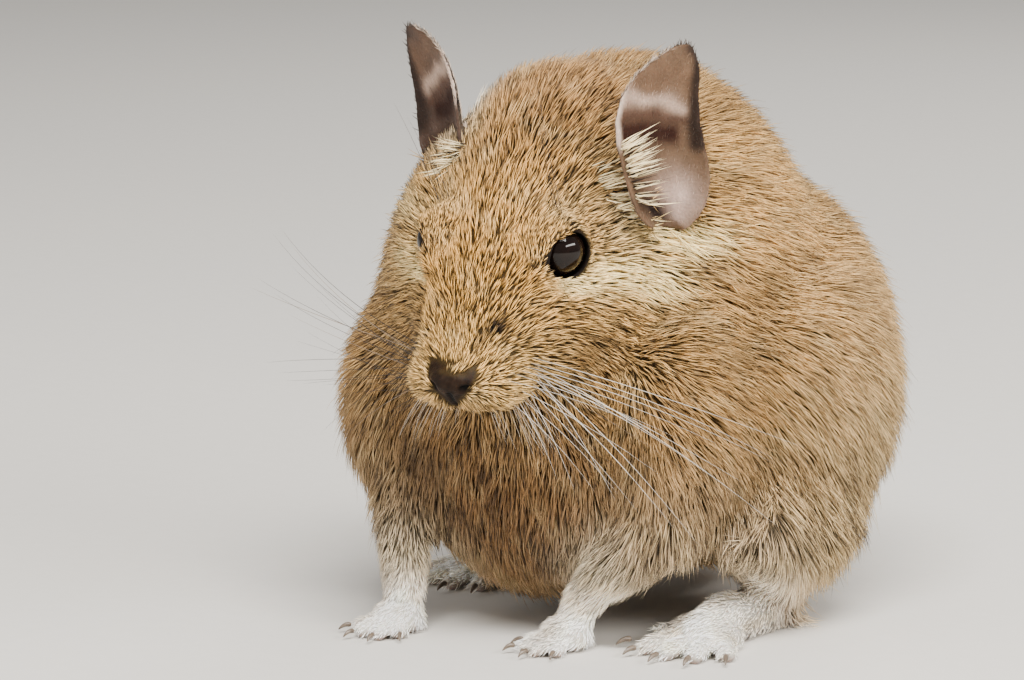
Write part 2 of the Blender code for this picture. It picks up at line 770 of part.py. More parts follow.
# The lids are a rim of skin over each eyeball, opened in an almond; the eyeball has its own socket.
sides = {"left": 1, "right": -1}
for side in sides.values():
    centre = eye_frame(side)[0]
    combine(body, "UNION", ball("lids", centre, [EYE_RADIUS + GAP + LID_THICK] * 3, None, 18, 11))
for side in sides.values():
    centre = eye_frame(side)[0]
    combine(body, "DIFFERENCE", ball("socket", centre, [EYE_RADIUS + GAP] * 3, None, 16, 9))
    combine(body, "DIFFERENCE", almond("aperture", side, *APERTURE, 7.0))

# The nose pad, its nostrils, the cleft under it and the mouth.
tilt = HEAD.to_3x3().to_4x4()


def nose_region(more):
    """The pad: broad above and drawn in to the cleft below."""
    broad = [r + more for r in (4.4, 2.6, 2.4)]
    narrow = [r + more for r in (2.3, 2.3, 3.1)]
    region = ball("pad", in_head(0, NOSE[0], NOSE[1] + 0.8), broad, tilt, 14, 7)
    combine(region, "UNION", ball("low", in_head(0, NOSE[0], NOSE[1] - 1.2), narrow, tilt, 8, 5))
    return region


combine(body, "UNION", nose_region(-0.15))
for side in sides.values():
    slant = tilt @ Matrix.Rotation(side * math.radians(-25), 4, "Y")
    nostril = ball("nostril", in_head(side * 2.5, NOSE[0] + 2.1, NOSE[1] + 0.2), (1.25, 1.3, 0.6), slant, 10, 6)
    combine(body, "DIFFERENCE", nostril)
cleft = tube("cleft", [in_head(0, 25.0, -11.2), in_head(0, 23.6, -12.8), in_head(0, 21.6, -14.8)], [0.35] * 3, 1)
combine(body, "DIFFERENCE", cleft)
combine(body, "DIFFERENCE", across_face(MOUTH, 0.45, "mouth"))

slab = prism("floor", [(-90, -20), (190, -20), (190, 0), (-90, 0)], 130)
combine(body, "DIFFERENCE", slab)
keep_largest(body)

parts = {}
for name, side in sides.items():
    combine(body, "DIFFERENCE", ear(side, 1.3 * GAP))
    keep_largest(body)
    parts["ear_" + name] = (ear(side), EAR_SKIN)
    parts["eye_" + name] = (ball("eye", eye_frame(side)[0], [EYE_RADIUS] * 3, None, 16, 9), EYE_BLACK)
parts["nose_pad"] = (part_shape(body, "nose_pad", nose_region), NOSE_SKIN)
for name, side in sides.items():
    pad = part_shape(body, "whiskers", lambda more: muzzle_pad(side, more))
    fuse_all(pad, whiskers(side))
    parts["whiskers_" + name] = (pad, FUR)
for name in sides:
    palm = FORELIMBS[name]["palm"][:2]
    parts["forefoot_" + name] = (
        part_shape(body, "forefoot", lambda more: low_box("wrist", palm, (11, 11.5), FORE_WRIST, more)), PALE
    )
    x, y = HINDLIMBS[name]["heel"]
    parts["hindfoot_" + name] = (
        part_shape(body, "hindfoot", lambda more: low_box("ankle", (x, y - 14), (11.5, 22), ANKLE, more)), PALE
    )
parts["head"] = (part_ball(body, "head", in_head(0, -4, -5.5), (23, 33, 23), tilt), FUR)
parts["neck"] = (part_ball(body, "neck", in_head(0, -24, -4), (27, 24, 26), tilt), FUR)
for name in sides:
    parts["foreleg_" + name] = (part_shape(body, "foreleg", lambda more: arm_region(name, more)), FUR)
    parts["hindleg_" + name] = (part_shape(body, "hindleg", lambda more: thigh_region(name, more)), FUR)
tail = part_beyond(body, "tail_base", (-1.5, 66, 5), 12)
middle = part_beyond(tail, "tail_middle", (-22, 96.5, 4), 52)
brush = part_beyond(middle, "tail_brush", (-46, 109, 4), 70)
fuse_all(brush, brush_locks())
combine(brush, "DIFFERENCE", prism("floor", [(-90, -20), (190, -20), (190, 0), (-90, 0)], 130))
keep_largest(brush)
parts["tail_base"] = (tail, FUR)
parts["tail_middle"] = (middle, FUR)
parts["tail_brush"] = (brush, BRUSH_HAIR)
for kind, feet, long, thick in (("forefoot", fore, 2.2, 0.62), ("hindfoot", hind, 2.8, 0.75)):
    for name, (_, claws) in feet.items():
        for count, (tip, way) in enumerate(claws, 1):
            made = claw("claw", tip, way, long, thick)
            parts[f"claw_{kind}_{name}_{count}"] = (made, CLAW_HORN)
parts["torso"] = (body, FUR)

for name, (made, paint) in parts.items():
    finish(made, name, paint)
for cutter in list(CUTTERS.objects):
    bpy.data.objects.remove(cutter, do_unlink=True)
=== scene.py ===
import math

import bmesh
import bpy
import numpy as np
from mathutils import Matrix, Vector
from mathutils.bvhtree import BVHTree


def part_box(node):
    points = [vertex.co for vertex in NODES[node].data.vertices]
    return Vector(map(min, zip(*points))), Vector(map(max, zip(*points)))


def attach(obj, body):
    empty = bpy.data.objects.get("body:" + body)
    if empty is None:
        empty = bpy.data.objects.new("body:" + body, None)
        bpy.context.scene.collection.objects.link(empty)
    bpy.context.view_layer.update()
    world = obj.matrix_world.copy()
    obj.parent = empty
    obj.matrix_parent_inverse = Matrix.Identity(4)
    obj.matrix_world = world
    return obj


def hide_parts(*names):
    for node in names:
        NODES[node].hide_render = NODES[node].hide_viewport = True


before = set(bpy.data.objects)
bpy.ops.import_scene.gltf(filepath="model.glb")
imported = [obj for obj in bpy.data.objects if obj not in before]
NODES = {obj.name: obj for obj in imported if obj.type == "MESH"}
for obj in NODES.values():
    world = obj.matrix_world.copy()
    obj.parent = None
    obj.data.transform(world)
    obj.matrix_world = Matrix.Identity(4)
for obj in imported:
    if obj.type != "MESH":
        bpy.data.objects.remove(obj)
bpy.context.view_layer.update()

# The camera. It stands low in front of the animal, a little to its left, as the photograph's did,
# with a long lens, so that face and forefeet come large and the back falls away behind.
# Places are given in millimetres from the floor point under the middle of the animal's breast.
BREAST = np.array((-15.5, 40.2, 0.0))


def place(x, y, z):
    """A spot given from under the breast, as a place in the row's frame."""
    return (Vector((x, y, z)) - Vector(BREAST)) * 0.001


def placed(name, data):
    """A new object of this data, linked into the scene."""
    thing = bpy.data.objects.new(name, data)
    bpy.context.scene.collection.objects.link(thing)
    return thing


ROUND, RISE, AWAY = math.radians(37), math.radians(10), 0.750
looks_at = place(-15.0, 0.0, 44.4)
stands = Vector((math.sin(ROUND) * math.cos(RISE), -math.cos(ROUND) * math.cos(RISE), math.sin(RISE)))
camera = placed("camera", bpy.data.cameras.new("camera"))
camera.location = looks_at + stands * AWAY
camera.rotation_euler = (-stands).to_track_quat("-Z", "Y").to_euler()
camera.data.lens = 158.2
camera.data.sensor_width = 36.0
camera.data.clip_start = 0.05
bpy.context.scene.camera = camera


# The lie of the coat. A degu's hair runs up the face from the nose, back over the crown and the back,
# down the flanks and down each limb to the toes. It is shortest on nose, lids and feet.
# Each part of the body gives its middle and reach in millimetres, the way its hair lies, then the
# coat's depth, the tufts' length, width and number on a square millimetre, and the coat's colour.
LIE = {
    "nose": ((3.6, -38, 49), 4.5, (0, 0.5, 0.85), 0.33, 1.34, 0.196, 4.32, "BC9A62"),
    "muzzle left": ((9, -33, 48), 5, (0.85, 0.45, 0.12), 0.55, 2.02, 0.21, 4.68, "DDBC80"),
    "muzzle right": ((-3, -35.5, 48), 5, (-0.85, 0.35, 0.12), 0.55, 2.02, 0.21, 4.68, "DDBC80"),
    "left whisker bed": ((11.5, -32, 44), 4, (0.75, 0.5, -0.4), 0.55, 2.46, 0.21, 4.32, "DCC08A"),
    "right whisker bed": ((-5.5, -35, 44), 4, (-0.85, 0.4, -0.3), 0.55, 2.46, 0.21, 4.32, "DCC08A"),
    "upper lip": ((3.5, -37, 41), 3, (0.1, 0.4, -0.9), 0.33, 1.68, 0.196, 4.32, "CDB184"),
    "chin": ((3, -32, 37.5), 4.5, (0, 0.7, -0.7), 0.55, 2.69, 0.224, 3.6, "BFA57C"),
    "bridge": ((2, -34, 57), 6, (0, 0.5, 0.85), 0.66, 2.46, 0.224, 4.68, "C4964C"),
    "left of the bridge": ((8, -31, 57), 5, (0.35, 0.55, 0.7), 0.66, 2.46, 0.224, 4.68, "C79E5A"),
    "right of the bridge": ((-4.5, -33, 57), 5, (-0.35, 0.5, 0.7), 0.66, 2.46, 0.224, 4.68, "C79E5A"),
    "between the eyes": ((0.5, -29, 68), 7, (0, 0.55, 0.82), 0.88, 3.02, 0.252, 4.32, "C89E5E"),
    "left brow": ((9, -26, 71), 5, (0.3, 0.6, 0.72), 0.77, 2.8, 0.238, 4.46, "CDA86E"),
    "right brow": ((-7, -28.5, 71), 5, (-0.3, 0.5, 0.75), 0.77, 2.8, 0.238, 4.46, "CDA86E"),
    "forehead": ((-0.5, -20, 79), 8, (0, 0.75, 0.62), 1.1, 3.7, 0.266, 3.96, "A5804F"),
    "crown": ((-1, -8, 88), 8, (0, 1, 0.12), 1.2, 4.2, 0.22, 4.8, "A5825A"),
    "below the left eye": ((16, -23, 56), 6, (0.72, 0.66, -0.12), 0.99, 3.25, 0.238, 4.46, "CDAB72"),
    "below the right eye": ((-12, -27, 56), 6, (-0.75, 0.6, -0.12), 0.99, 3.25, 0.238, 4.46, "C0A06C"),
    "left temple": ((18, -16, 70), 6, (0.45, 0.78, 0.4), 0.99, 3.58, 0.266, 3.96, "B4935F"),
    "right temple": ((-15, -20, 70), 6, (-0.45, 0.75, 0.4), 0.99, 3.58, 0.266, 3.96, "B4935F"),
    "left cheek": ((21, -14, 52), 8, (0.5, 0.75, -0.38), 1.4, 4.2, 0.21, 4.8, "C8A673"),
    "right cheek": ((-18, -19, 52), 8, (-0.5, 0.7, -0.42), 1.4, 4.2, 0.21, 4.8, "B39567"),
    # The jaws' colour is darkened as painted shade under the cheeks.
    "left jaw": ((15, -20, 43), 6, (0.45, 0.7, -0.6), 1.3, 4.6, 0.2, 4.8, "84683F"),
    "right jaw": ((-10, -24, 43), 6, (-0.45, 0.6, -0.65), 1.3, 4.6, 0.2, 4.8, "84683F"),
    "throat": ((1, -20, 37), 8, (0, 0.3, -0.95), 1.8, 5.6, 0.26, 3.4, "957650"),
    "nape": ((-2, 10, 91), 11, (0, 1, -0.1), 2.4, 5.52, 0.252, 3.0, "9C7C52"),
    "left neck": ((25, 2, 68), 10, (0.1, 0.85, -0.45), 2.2, 5.34, 0.243, 3.3, "D2AE78"),
    "right neck": ((-26, -2, 68), 10, (-0.1, 0.85, -0.5), 2.2, 5.34, 0.243, 3.3, "C4A375"),
    "back": ((0, 36, 86), 17, (0, 1, -0.25), 3.0, 6.99, 0.297, 2.3, "856A44"),
    "rump": ((0, 60, 60), 16, (0, 0.6, -0.8), 3.2, 7.91, 0.306, 2.1, "A98E68"),
    "seat": ((0, 62, 26), 13, (0, 0.5, -0.9), 3.0, 7.36, 0.306, 2.0, "B09A7C"),
    "left flank": ((37, 20, 60), 15, (0.05, 0.8, -0.62), 3.0, 6.81, 0.279, 2.7, "C2A274"),
    "right flank": ((-38, 20, 60), 15, (0, 0.8, -0.65), 3.0, 6.81, 0.288, 2.3, "C0A176"),
    "left shoulder": ((30, -8, 46), 11, (0.15, 0.6, -0.8), 2.4, 5.89, 0.261, 3.0, "997B52"),
    "right shoulder": ((-30, -12, 46), 11, (-0.1, 0.5, -0.85), 2.4, 5.89, 0.27, 2.7, "917450"),
    # The breast's colour is darkened to a shaded brown: painted shade under the chin and between the forelegs.
    "breast": ((0, -22, 27), 11, (0.05, 0.15, -1), 2.2, 5.4, 0.26, 3.0, "715439"),
    "belly": ((0, 6, 8), 13, (0, 0.9, -0.3), 2.0, 6.0, 0.36, 1.5, "9C8465"),
    "left haunch": ((41, 24, 32), 13, (0.05, 0.3, -0.95), 2.8, 7.18, 0.279, 2.6, "B2A084"),
    "right haunch": ((-41, 28, 32), 13, (0, 0.3, -0.95), 2.8, 7.18, 0.288, 2.2, "B2A084"),
    "left elbow": ((26, -10, 22), 8, (-0.1, 0.05, -1), 1.8, 6.5, 0.26, 3.2, "A4917A"),
    "right elbow": ((-24, -20, 22), 8, (0.1, -0.1, -1), 1.8, 6.0, 0.27, 3.0, "A08C72"),
    "left forearm": ((17, -18, 13), 5, (-0.6, -0.5, -0.7), 0.9, 3.2, 0.2, 5.0, "EAE5DC"),
    "right forearm": ((-18, -26, 13), 5, (0.1, -0.3, -0.95), 0.9, 3.2, 0.2, 5.0, "E2DCD2"),
    "left forefoot": ((12.5, -25, 3), 5, (-0.1, -0.9, -0.35), 0.3, 1.4, 0.15, 6.0, "F2EFEA"),
    "right forefoot": ((-17, -32, 3), 5, (0, -0.9, -0.35), 0.3, 1.4, 0.15, 6.0, "F2EFEA"),
    "left hind foot": ((31, -8, 3), 8, (0, -1, -0.1), 0.35, 1.7, 0.17, 5.0, "EFECE6"),
    "right hind foot": ((-28, 12, 3), 8, (0, -1, -0.1), 0.35, 1.7, 0.17, 4.5, "EFECE6"),
    "tail root": ((-10, 82, 8), 9, (-0.3, 0.95, -0.2), 0.9, 4.0, 0.24, 3.4, "8E7654"),
    "tail": ((-33, 103, 4), 8, (-0.85, 0.5, 0), 0.6, 3.2, 0.22, 3.8, "6E5A44"),
    "brush": ((-64, 113, 4), 12, (-0.97, 0.2, 0.05), 0.8, 11.0, 0.3, 7.0, "2E2620"),
}


def linear(code):
    """A colour given as sRGB hex, in linear light."""
    parts = [int(code[i : i + 2], 16) / 255 for i in (0, 2, 4)]
    return [c / 12.92 if c <= 0.04045 else ((c + 0.055) / 1.055) ** 2.4 for c in parts]


LIE_AT = np.array([row[0] for row in LIE.values()], float)
LIE_REACH = np.array([row[1] for row in LIE.values()], float)
LIE_WAY = np.array([row[2] for row in LIE.values()], float)
LIE_SIZES = np.array([row[3:7] for row in LIE.values()], float)
LIE_COLOUR = np.array([linear(row[7]) for row in LIE.values()])


def coat_at(points):
    """The way the hair lies, its sizes and its colour at places in millimetres from under the breast."""
    far = ((points[:, None, :] - LIE_AT[None]) ** 2).sum(2) / (LIE_REACH**2)
    share = np.exp(-0.5 * (far - far.min(1, keepdims=True)))
    share /= share.sum(1, keepdims=True)
    return share @ LIE_WAY, share @ LIE_SIZES, share @ LIE_COLOUR


def unit(ways):
    """Directions, each made one long."""
    return ways / np.maximum(np.linalg.norm(ways, axis=1, keepdims=True), 1e-9)


def smoothstep(x, low, high):
    """0 below low and 1 above high, with a smooth rise between."""
    t = np.clip((x - low) / (high - low), 0, 1)
    return t * t * (3 - 2 * t)


# The hide. One skin lies under the whole coat, closed over every seam of the carved body,
# thin over the bones of the face and feet and sunk by the coat's depth elsewhere.
# It is bare on the nose, the rims of the lids, the inside of the ears and the soles.
FLESH = sorted(name for name in NODES if not name.startswith(("claw", "eye", "whiskers", "tail_brush")))
SIDES = {"left": 1, "right": -1}
BETWEEN_EYES = np.array((1.5, -25.0, 65.0))
HEAD_MIDDLE = np.array((1.5, -25.0, 62.0))
HEAD_TURN = Matrix.Rotation(math.radians(8), 3, "Z")
HEAD = HEAD_TURN @ Matrix.Rotation(math.radians(34), 3, "X")
HIDE_CELL = 0.45  # size of the remesh's cells, in millimetres
HIDE_SHARE = 0.30  # share of the hide's faces that is kept
OVERLAP = 0.0002  # metres by which every solid is swelled, so that the seams close
PAD_REACH = 0.0047  # metres from the middle of a whisker bed to its edge
SINK_STEPS = 6
LOWEST = 0.02  # millimetres from the floor to the soles
# The core of the tail's brush: its middle and half its width at five places.
BRUSH_CORE = (
    (-43, 107.8, 3.4, 3.3), (-52, 110.6, 3.3, 3.4), (-60, 112.6, 3.1, 3.2),
    (-70, 115, 2.7, 2.6), (-77, 116.3, 2.0, 1.3),
)
CORE_SIDES = 16


def in_head(across, ahead, above):
    """A spot of the head's own frame, which starts between the eyes, from under the breast."""
    return BETWEEN_EYES + np.array(HEAD @ Vector((across, -ahead, above)))


def middle_of(name):
    low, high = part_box(name)
    return np.array((low + high) / 2) * 1000 + BREAST


EYES = {side: middle_of("eye_" + side) for side in SIDES}
NOSE = middle_of("nose_pad")
PADS = {side: in_head(sign * 8.6, 18.4, -11.4) for side, sign in SIDES.items()}


def eye_and_nose(points):
    """How far these places are from the nearer eye's middle, and from the nose's."""
    to_eye = np.minimum(*[np.linalg.norm(points - eye, axis=1) for eye in EYES.values()])
    return to_eye, np.linalg.norm(points - NOSE, axis=1)


def beyond_head(points, start, end):
    """0 within the first distance from the head's middle and 1 past the second."""
    return smoothstep(np.linalg.norm(points - HEAD_MIDDLE, axis=1), start, end)


def as_mesh(name, points, faces):
    """A mesh object of these places, in millimetres from under the breast, and faces of one size."""
    made = bpy.data.meshes.new(name)
    made.vertices.add(len(points))
    made.vertices.foreach_set("co", ((points - BREAST) * 0.001).astype(np.float32).ravel())
    made.loops.add(faces.size)
    made.loops.foreach_set("vertex_index", faces.astype(np.int32).ravel())
    made.polygons.add(len(faces))
    made.polygons.foreach_set("loop_start", np.arange(0, faces.size, faces.shape[1], dtype=np.int32))
    made.update(calc_edges=True)
    made.validate()
    made.shade_smooth()
    return placed(name, made)


def read(items, field, width, kind=np.float32):
    """One field of a mesh's items, with a row of this width for each."""
    flat = np.empty(len(items) * width, kind)
    items.foreach_get(field, flat)
    return flat.reshape(-1, width)


def places(mesh):
    """Where the mesh's vertices are, in millimetres from under the breast."""
    return read(mesh.vertices, "co", 3).astype(float) * 1000 + BREAST


def put(mesh, points):
    mesh.vertices.foreach_set("co", ((points - BREAST) * 0.001).astype(np.float32).ravel())
    mesh.update()


def outward(mesh):
    return read(mesh.vertex_normals, "vector", 3).astype(float)


def ends(mesh):
    return read(mesh.edges, "vertices", 2, np.int32)


def corners_of(mesh, sides):
    """The vertices at the corners of faces that all have this many sides."""
    return read(mesh.loops, "vertex_index", 1, np.int32).reshape(-1, sides)


def eased(values, pairs, strength, times):
    """The values with each point drawn towards the mean of its neighbours, as far as its strength says."""
    count = len(values)
    a, b = pairs.T
    near = np.bincount(a, minlength=count) + np.bincount(b, minlength=count)
    for _ in range(times):
        sums = [np.bincount(a, row[b], count) + np.bincount(b, row[a], count) for row in values.T]
        values = values + (np.stack(sums, 1) / near[:, None] - values) * strength[:, None]
    return values


def object_of(name, form):
    """A mesh object of this bmesh, which is then freed."""
    made = bpy.data.meshes.new(name)
    form.to_mesh(made)
    form.free()
    return placed(name, made)


def finished(thing):
    """The object's mesh with its modifiers applied."""
    bpy.context.view_layer.update()
    graph = bpy.context.evaluated_depsgraph_get()
    made = bpy.data.meshes.new_from_object(thing.evaluated_get(graph))
    thing.modifiers.clear()
    old, thing.data = thing.data, made
    bpy.data.meshes.remove(old)
    return made


def nearest_node(points):
    """For each place, the CAD node whose surface is nearest, as a number in FLESH."""
    corners, faces, owner = [], [], []
    for number, name in enumerate(FLESH):
        data = NODES[name].data
        faces.append(corners_of(data, 3) + sum(len(c) for c in corners))
        corners.append(places(data))
        owner += [number] * len(data.polygons)
    tree = BVHTree.FromPolygons(np.concatenate(corners).tolist(), np.concatenate(faces).tolist())
    return np.array([owner[tree.find_nearest(p)[2]] for p in points.tolist()])


def main_shell(mesh):
    """For each vertex, whether it is on the mesh's largest shell."""
    pairs = ends(mesh)
    label = np.arange(len(mesh.vertices))
    while True:
        lower = np.minimum(label[pairs[:, 0]], label[pairs[:, 1]])
        new = label.copy()
        np.minimum.at(new, pairs[:, 0], lower)
        np.minimum.at(new, pairs[:, 1], lower)
        new = new[new]
        if (new == label).all():
            break
        label = new
    kinds, counts = np.unique(label, return_counts=True)
    return label == kinds[counts.argmax()]


# The flesh solids and the swelling of each whisker bed, with its hairs cut off, go into one mesh,
# and so does a core for the tail's brush. The remesh makes one skin of them.
bare = bmesh.new()
for name in FLESH:
    bare.from_mesh(NODES[name].data)
for side, pad_at in PADS.items():
    pad = bmesh.new()
    pad.from_mesh(NODES["whiskers_" + side].data)
    bmesh.ops.remove_doubles(pad, verts=pad.verts, dist=1e-6)
    hairs = [v for v in pad.verts if (v.co - place(*pad_at)).length > PAD_REACH]
    bmesh.ops.delete(pad, geom=hairs, context="VERTS")
    bmesh.ops.holes_fill(pad, edges=[e for e in pad.edges if e.is_boundary], sides=0)
    bmesh.ops.recalc_face_normals(pad, faces=pad.faces)
    closed = bpy.data.meshes.new("pad")
    pad.to_mesh(closed)
    pad.free()
    bare.from_mesh(closed)
    bpy.data.meshes.remove(closed)
bmesh.ops.remove_doubles(bare, verts=bare.verts, dist=1e-6)
bare.normal_update()
for vert in bare.verts:
    vert.co += vert.normal * OVERLAP
rings = []
for number, (x, y, z, girth) in enumerate(BRUSH_CORE):
    before, after = BRUSH_CORE[max(number - 1, 0)], BRUSH_CORE[min(number + 1, len(BRUSH_CORE) - 1)]
    heading = (Vector(after[:3]) - Vector(before[:3])).to_track_quat("Z", "Y").to_matrix().to_4x4()
    stand = Matrix.Translation(place(x, y, z)) @ heading
    made = bmesh.ops.create_circle(bare, segments=CORE_SIDES, radius=girth * 0.001, matrix=stand)
    rings.append(made["verts"])
for a, b in zip(rings, rings[1:]):
    for k in range(CORE_SIDES):
        after = (k + 1) % CORE_SIDES
        bare.faces.new((a[k], a[after], b[after], b[k]))
bare.faces.new(rings[0][::-1])
bare.faces.new(rings[-1])
hide = object_of("hide", bare)
closing = hide.modifiers.new("one skin", "REMESH")
closing.mode = "VOXEL"
closing.voxel_size = HIDE_CELL * 0.001
closing.adaptivity = 0.0
finished(hide)

# Only the outer shell stays, and not the small voids that the remesh leaves inside.
keep = main_shell(hide.data)
quads = corners_of(hide.data, 4)
quads = quads[keep[quads[:, 0]]]
renumber = np.cumsum(keep) - 1
spots = places(hide.data)[keep]
bpy.data.objects.remove(hide)
hide = as_mesh("hide", spots, renumber[quads])

# The remesh's steps are eased away, least on face, ears and feet, and then the hide sinks under its coat.
NUMBERS = {name: number for number, name in enumerate(FLESH)}
EAR_NUMBERS = [NUMBERS["ear_left"], NUMBERS["ear_right"]]
FOOT_NUMBERS = [number for name, number in NUMBERS.items() if "foot" in name]
owner = nearest_node(spots)
pairs = ends(hide.data)
fine_parts = np.stack([np.isin(owner, EAR_NUMBERS), np.isin(owner, FOOT_NUMBERS)], 1).astype(float)
by_ear, by_foot = eased(fine_parts, pairs, np.full(len(spots), 0.5), 6).T
to_eye, to_nose = eye_and_nose(spots)
near_face = np.maximum(1 - smoothstep(to_eye, 6, 12), 1 - smoothstep(to_nose, 9, 17))
strength = 0.5 - 0.42 * np.maximum.reduce([near_face, by_ear * 0.6, by_foot * 0.8])
spots = eased(spots, pairs, strength, 14)
put(hide.data, spots)
bald = np.maximum.reduce([1 - smoothstep(to_eye, 5.0, 7.5), 1 - smoothstep(to_nose, 4.2, 6.0), by_ear])
sink = (coat_at(spots)[1][:, 0] + 0.15) * (1 - bald) + 0.2 * bald
sink = sink * smoothstep(spots[:, 2], 0.3, 2.5)
for _ in range(SINK_STEPS):
    spots = spots - outward(hide.data) * sink[:, None] / SINK_STEPS
    spots = eased(spots, pairs, strength * 0.6, 2)
    put(hide.data, spots)

# Faces are taken out where the form is plain, and added round the eyes and the nose.
thin = hide.modifiers.new("fewer faces", "DECIMATE")
thin.ratio = HIDE_SHARE
group = hide.vertex_groups.new(name="plain")
levels = np.round((0.5 + 0.5 * (1 - np.maximum.reduce([near_face, by_ear, by_foot]))) * 8) / 8
for level in np.unique(levels):
    group.add(np.nonzero(levels == level)[0].tolist(), float(level), "REPLACE")
thin.vertex_group = "plain"
thin.vertex_group_factor = 0.3
finished(hide)
hide.vertex_groups.clear()
small = np.minimum(*eye_and_nose(places(hide.data))) < 6.5
shaped = bmesh.new()
shaped.from_mesh(hide.data)
fine = [edge for edge in shaped.edges if small[edge.verts[0].index] or small[edge.verts[1].index]]
bmesh.ops.subdivide_edges(shaped, edges=fine, cuts=1, use_grid_fill=True)
bmesh.ops.triangulate(shaped, faces=shaped.faces)
shaped.to_mesh(hide.data)
shaped.free()
spots = places(hide.data)
to_eye, to_nose = eye_and_nose(spots)
rough = 1 - smoothstep(np.minimum(to_eye, to_nose), 6.0, 7.5)
spots = eased(spots, ends(hide.data), 0.45 * rough, 2)

# The nostrils open low at the sides of the nose, and a cleft runs down between them to the lip.
NOSTRILS = [in_head(sign * 3.0 - 0.2, 24.6, -7.9) for sign in SIDES.values()]
NOSTRIL_REACH = np.array((1.7, 2.0, 1.1))
CLEFT = [in_head(0, ahead, above) for ahead, above in ((25.8, -8.6), (25.2, -11.0), (23.4, -13.2))]
dent = np.zeros(len(spots))
for nostril in NOSTRILS:
    far = np.linalg.norm((spots - nostril) / NOSTRIL_REACH, axis=1)
    dent = np.maximum(dent, 1 - smoothstep(far, 0.25, 1.0))
along_cleft = [a * (1 - t) + b * t for a, b in zip(CLEFT, CLEFT[1:]) for t in np.linspace(0, 1, 6)]
cleft_far = np.min([np.linalg.norm(spots - spot, axis=1) for spot in along_cleft], axis=0)
cleft = 1 - smoothstep(cleft_far, 0.2, 0.8)
put(hide.data, spots)
spots = spots - outward(hide.data) * (0.9 * dent + 0.35 * cleft)[:, None]
spots[:, 2] = np.maximum(spots[:, 2], LOWEST)
put(hide.data, spots)
hide.data.shade_smooth()
facing = outward(hide.data)
owner = nearest_node(spots)


def seeded(number):
    return np.random.default_rng(number)


def blotches(points, size, number, waves=14):
    """Soft blotches, from -1 to 1, about this many millimetres across."""
    chance = seeded(number)
    ways = chance.normal(size=(waves, 3))
    ways *= (2 * math.pi / size / np.linalg.norm(ways, axis=1) * chance.uniform(0.6, 1.4, waves))[:, None]
    heights = np.sin(points @ ways.T + chance.uniform(0, 2 * math.pi, waves))
    return heights.sum(1) / math.sqrt(waves) / 1.2


def blend(colours, code, share):
    """The colours moved towards another, given as hex, as far as the share says at each place."""
    return colours + (np.array(linear(code)) - colours) * np.clip(share, 0, 1)[:, None]


def around(points, centre, reach):
    """1 at the centre and 0 beyond, softly, with the reach in millimetres along x, y and z."""
    far = (((points - np.array(centre)) / np.array(reach)) ** 2).sum(1)
    return np.exp(-0.5 * far)


# How each ear stands: its foot, and its rearward, opening and upward directions. The rim gives shares
# of the ear's height, and how far the ear reaches there in front of its middle line and behind it.
EAR_TALL = 30.0
EARS = {}
for side, foot, lean, turn in (
    ("left", (21.4, -13.2, -4.9), 0.19, math.radians(50)),
    ("right", (-13.5, -14.6, -3.4), 0.46, math.radians(36)),
):
    sign = SIDES[side]
    up = Vector((sign * lean, -0.02, 1.0)).normalized()
    face = HEAD_TURN @ Vector((sign * math.sin(turn), -math.cos(turn), 0.1))
    face = (face - up * face.dot(up)).normalized()
    EARS[side] = [in_head(*foot)] + [np.array(v) for v in (up.cross(face) * sign, face, up)]
EAR_RIM = np.array((
    (0.0, 2.2, 2.4), (0.07, 4.8, 4.4), (0.16, 6.2, 5.6), (0.29, 7.8, 6.0), (0.43, 9.4, 5.0),
    (0.57, 10.4, 3.8), (0.71, 10.0, 3.2), (0.84, 8.2, 3.0), (0.94, 5.6, 2.6), (1.0, 3.0, 1.6),
))


def on_ear(points, side):
    """Share of the ear's height, and how far across it from -1 at the front rim to 1 at the rear rim."""
    foot, rear, face, up = EARS[side]
    high = (points - foot) @ up / EAR_TALL
    across = (points - foot) @ rear
    front = np.interp(high, EAR_RIM[:, 0], EAR_RIM[:, 1])
    behind = np.interp(high, EAR_RIM[:, 0], EAR_RIM[:, 2])
    return high, np.where(across < 0, across / front, across / behind)


def by_foot_of_ear(side, above, out, back):
    foot, rear, face, up = EARS[side]
    return foot + up * above + face * out + rear * back


def band(values, middle, half):
    """1 at the middle and 0 past half the band's width, softly."""
    return np.exp(-0.5 * ((values - middle) / half) ** 2)


# The markings and painted shade. Cream lies below and behind each eye and under each ear. The other
# rows give their colour, how strong it is, and their middle and reach; the two under the cheeks and
# the one between the breast and the right foreleg are painted shade.
CREAM, MARKS_UNDER_CREAM = [], []
for side, sign in SIDES.items():
    CREAM += [
        (EYES[side] + np.array((2.6 * sign, 0.6, -5.2)), (2.6, 3.2, 1.3)),
        (EYES[side] + np.array((5.6 * sign, 6.6, -4.2)), (3.0, 3.6, 1.9)),
        (EYES[side] + np.array((8.6 * sign, 11.0, -4.8)), (3.0, 3.4, 2.2)),
        (by_foot_of_ear(side, -1.8, 1.6, 2.5), (5.0, 5.0, 1.8)),
    ]
    MARKS_UNDER_CREAM += [
        ("D8B47A", 0.7, EYES[side] + np.array((0.5 * sign, 1.5, 6.0)), (3, 3, 1.6)),
        ("E6CFA0", 0.9, by_foot_of_ear(side, 3.0, 0.0, -7.0), (3, 3, 4)),
    ]
MARKS_UNDER_CREAM.append(("EFE2C8", 1.3, by_foot_of_ear("right", 9.0, -3.5, -2.0), (3.5, 3.5, 4.5)))
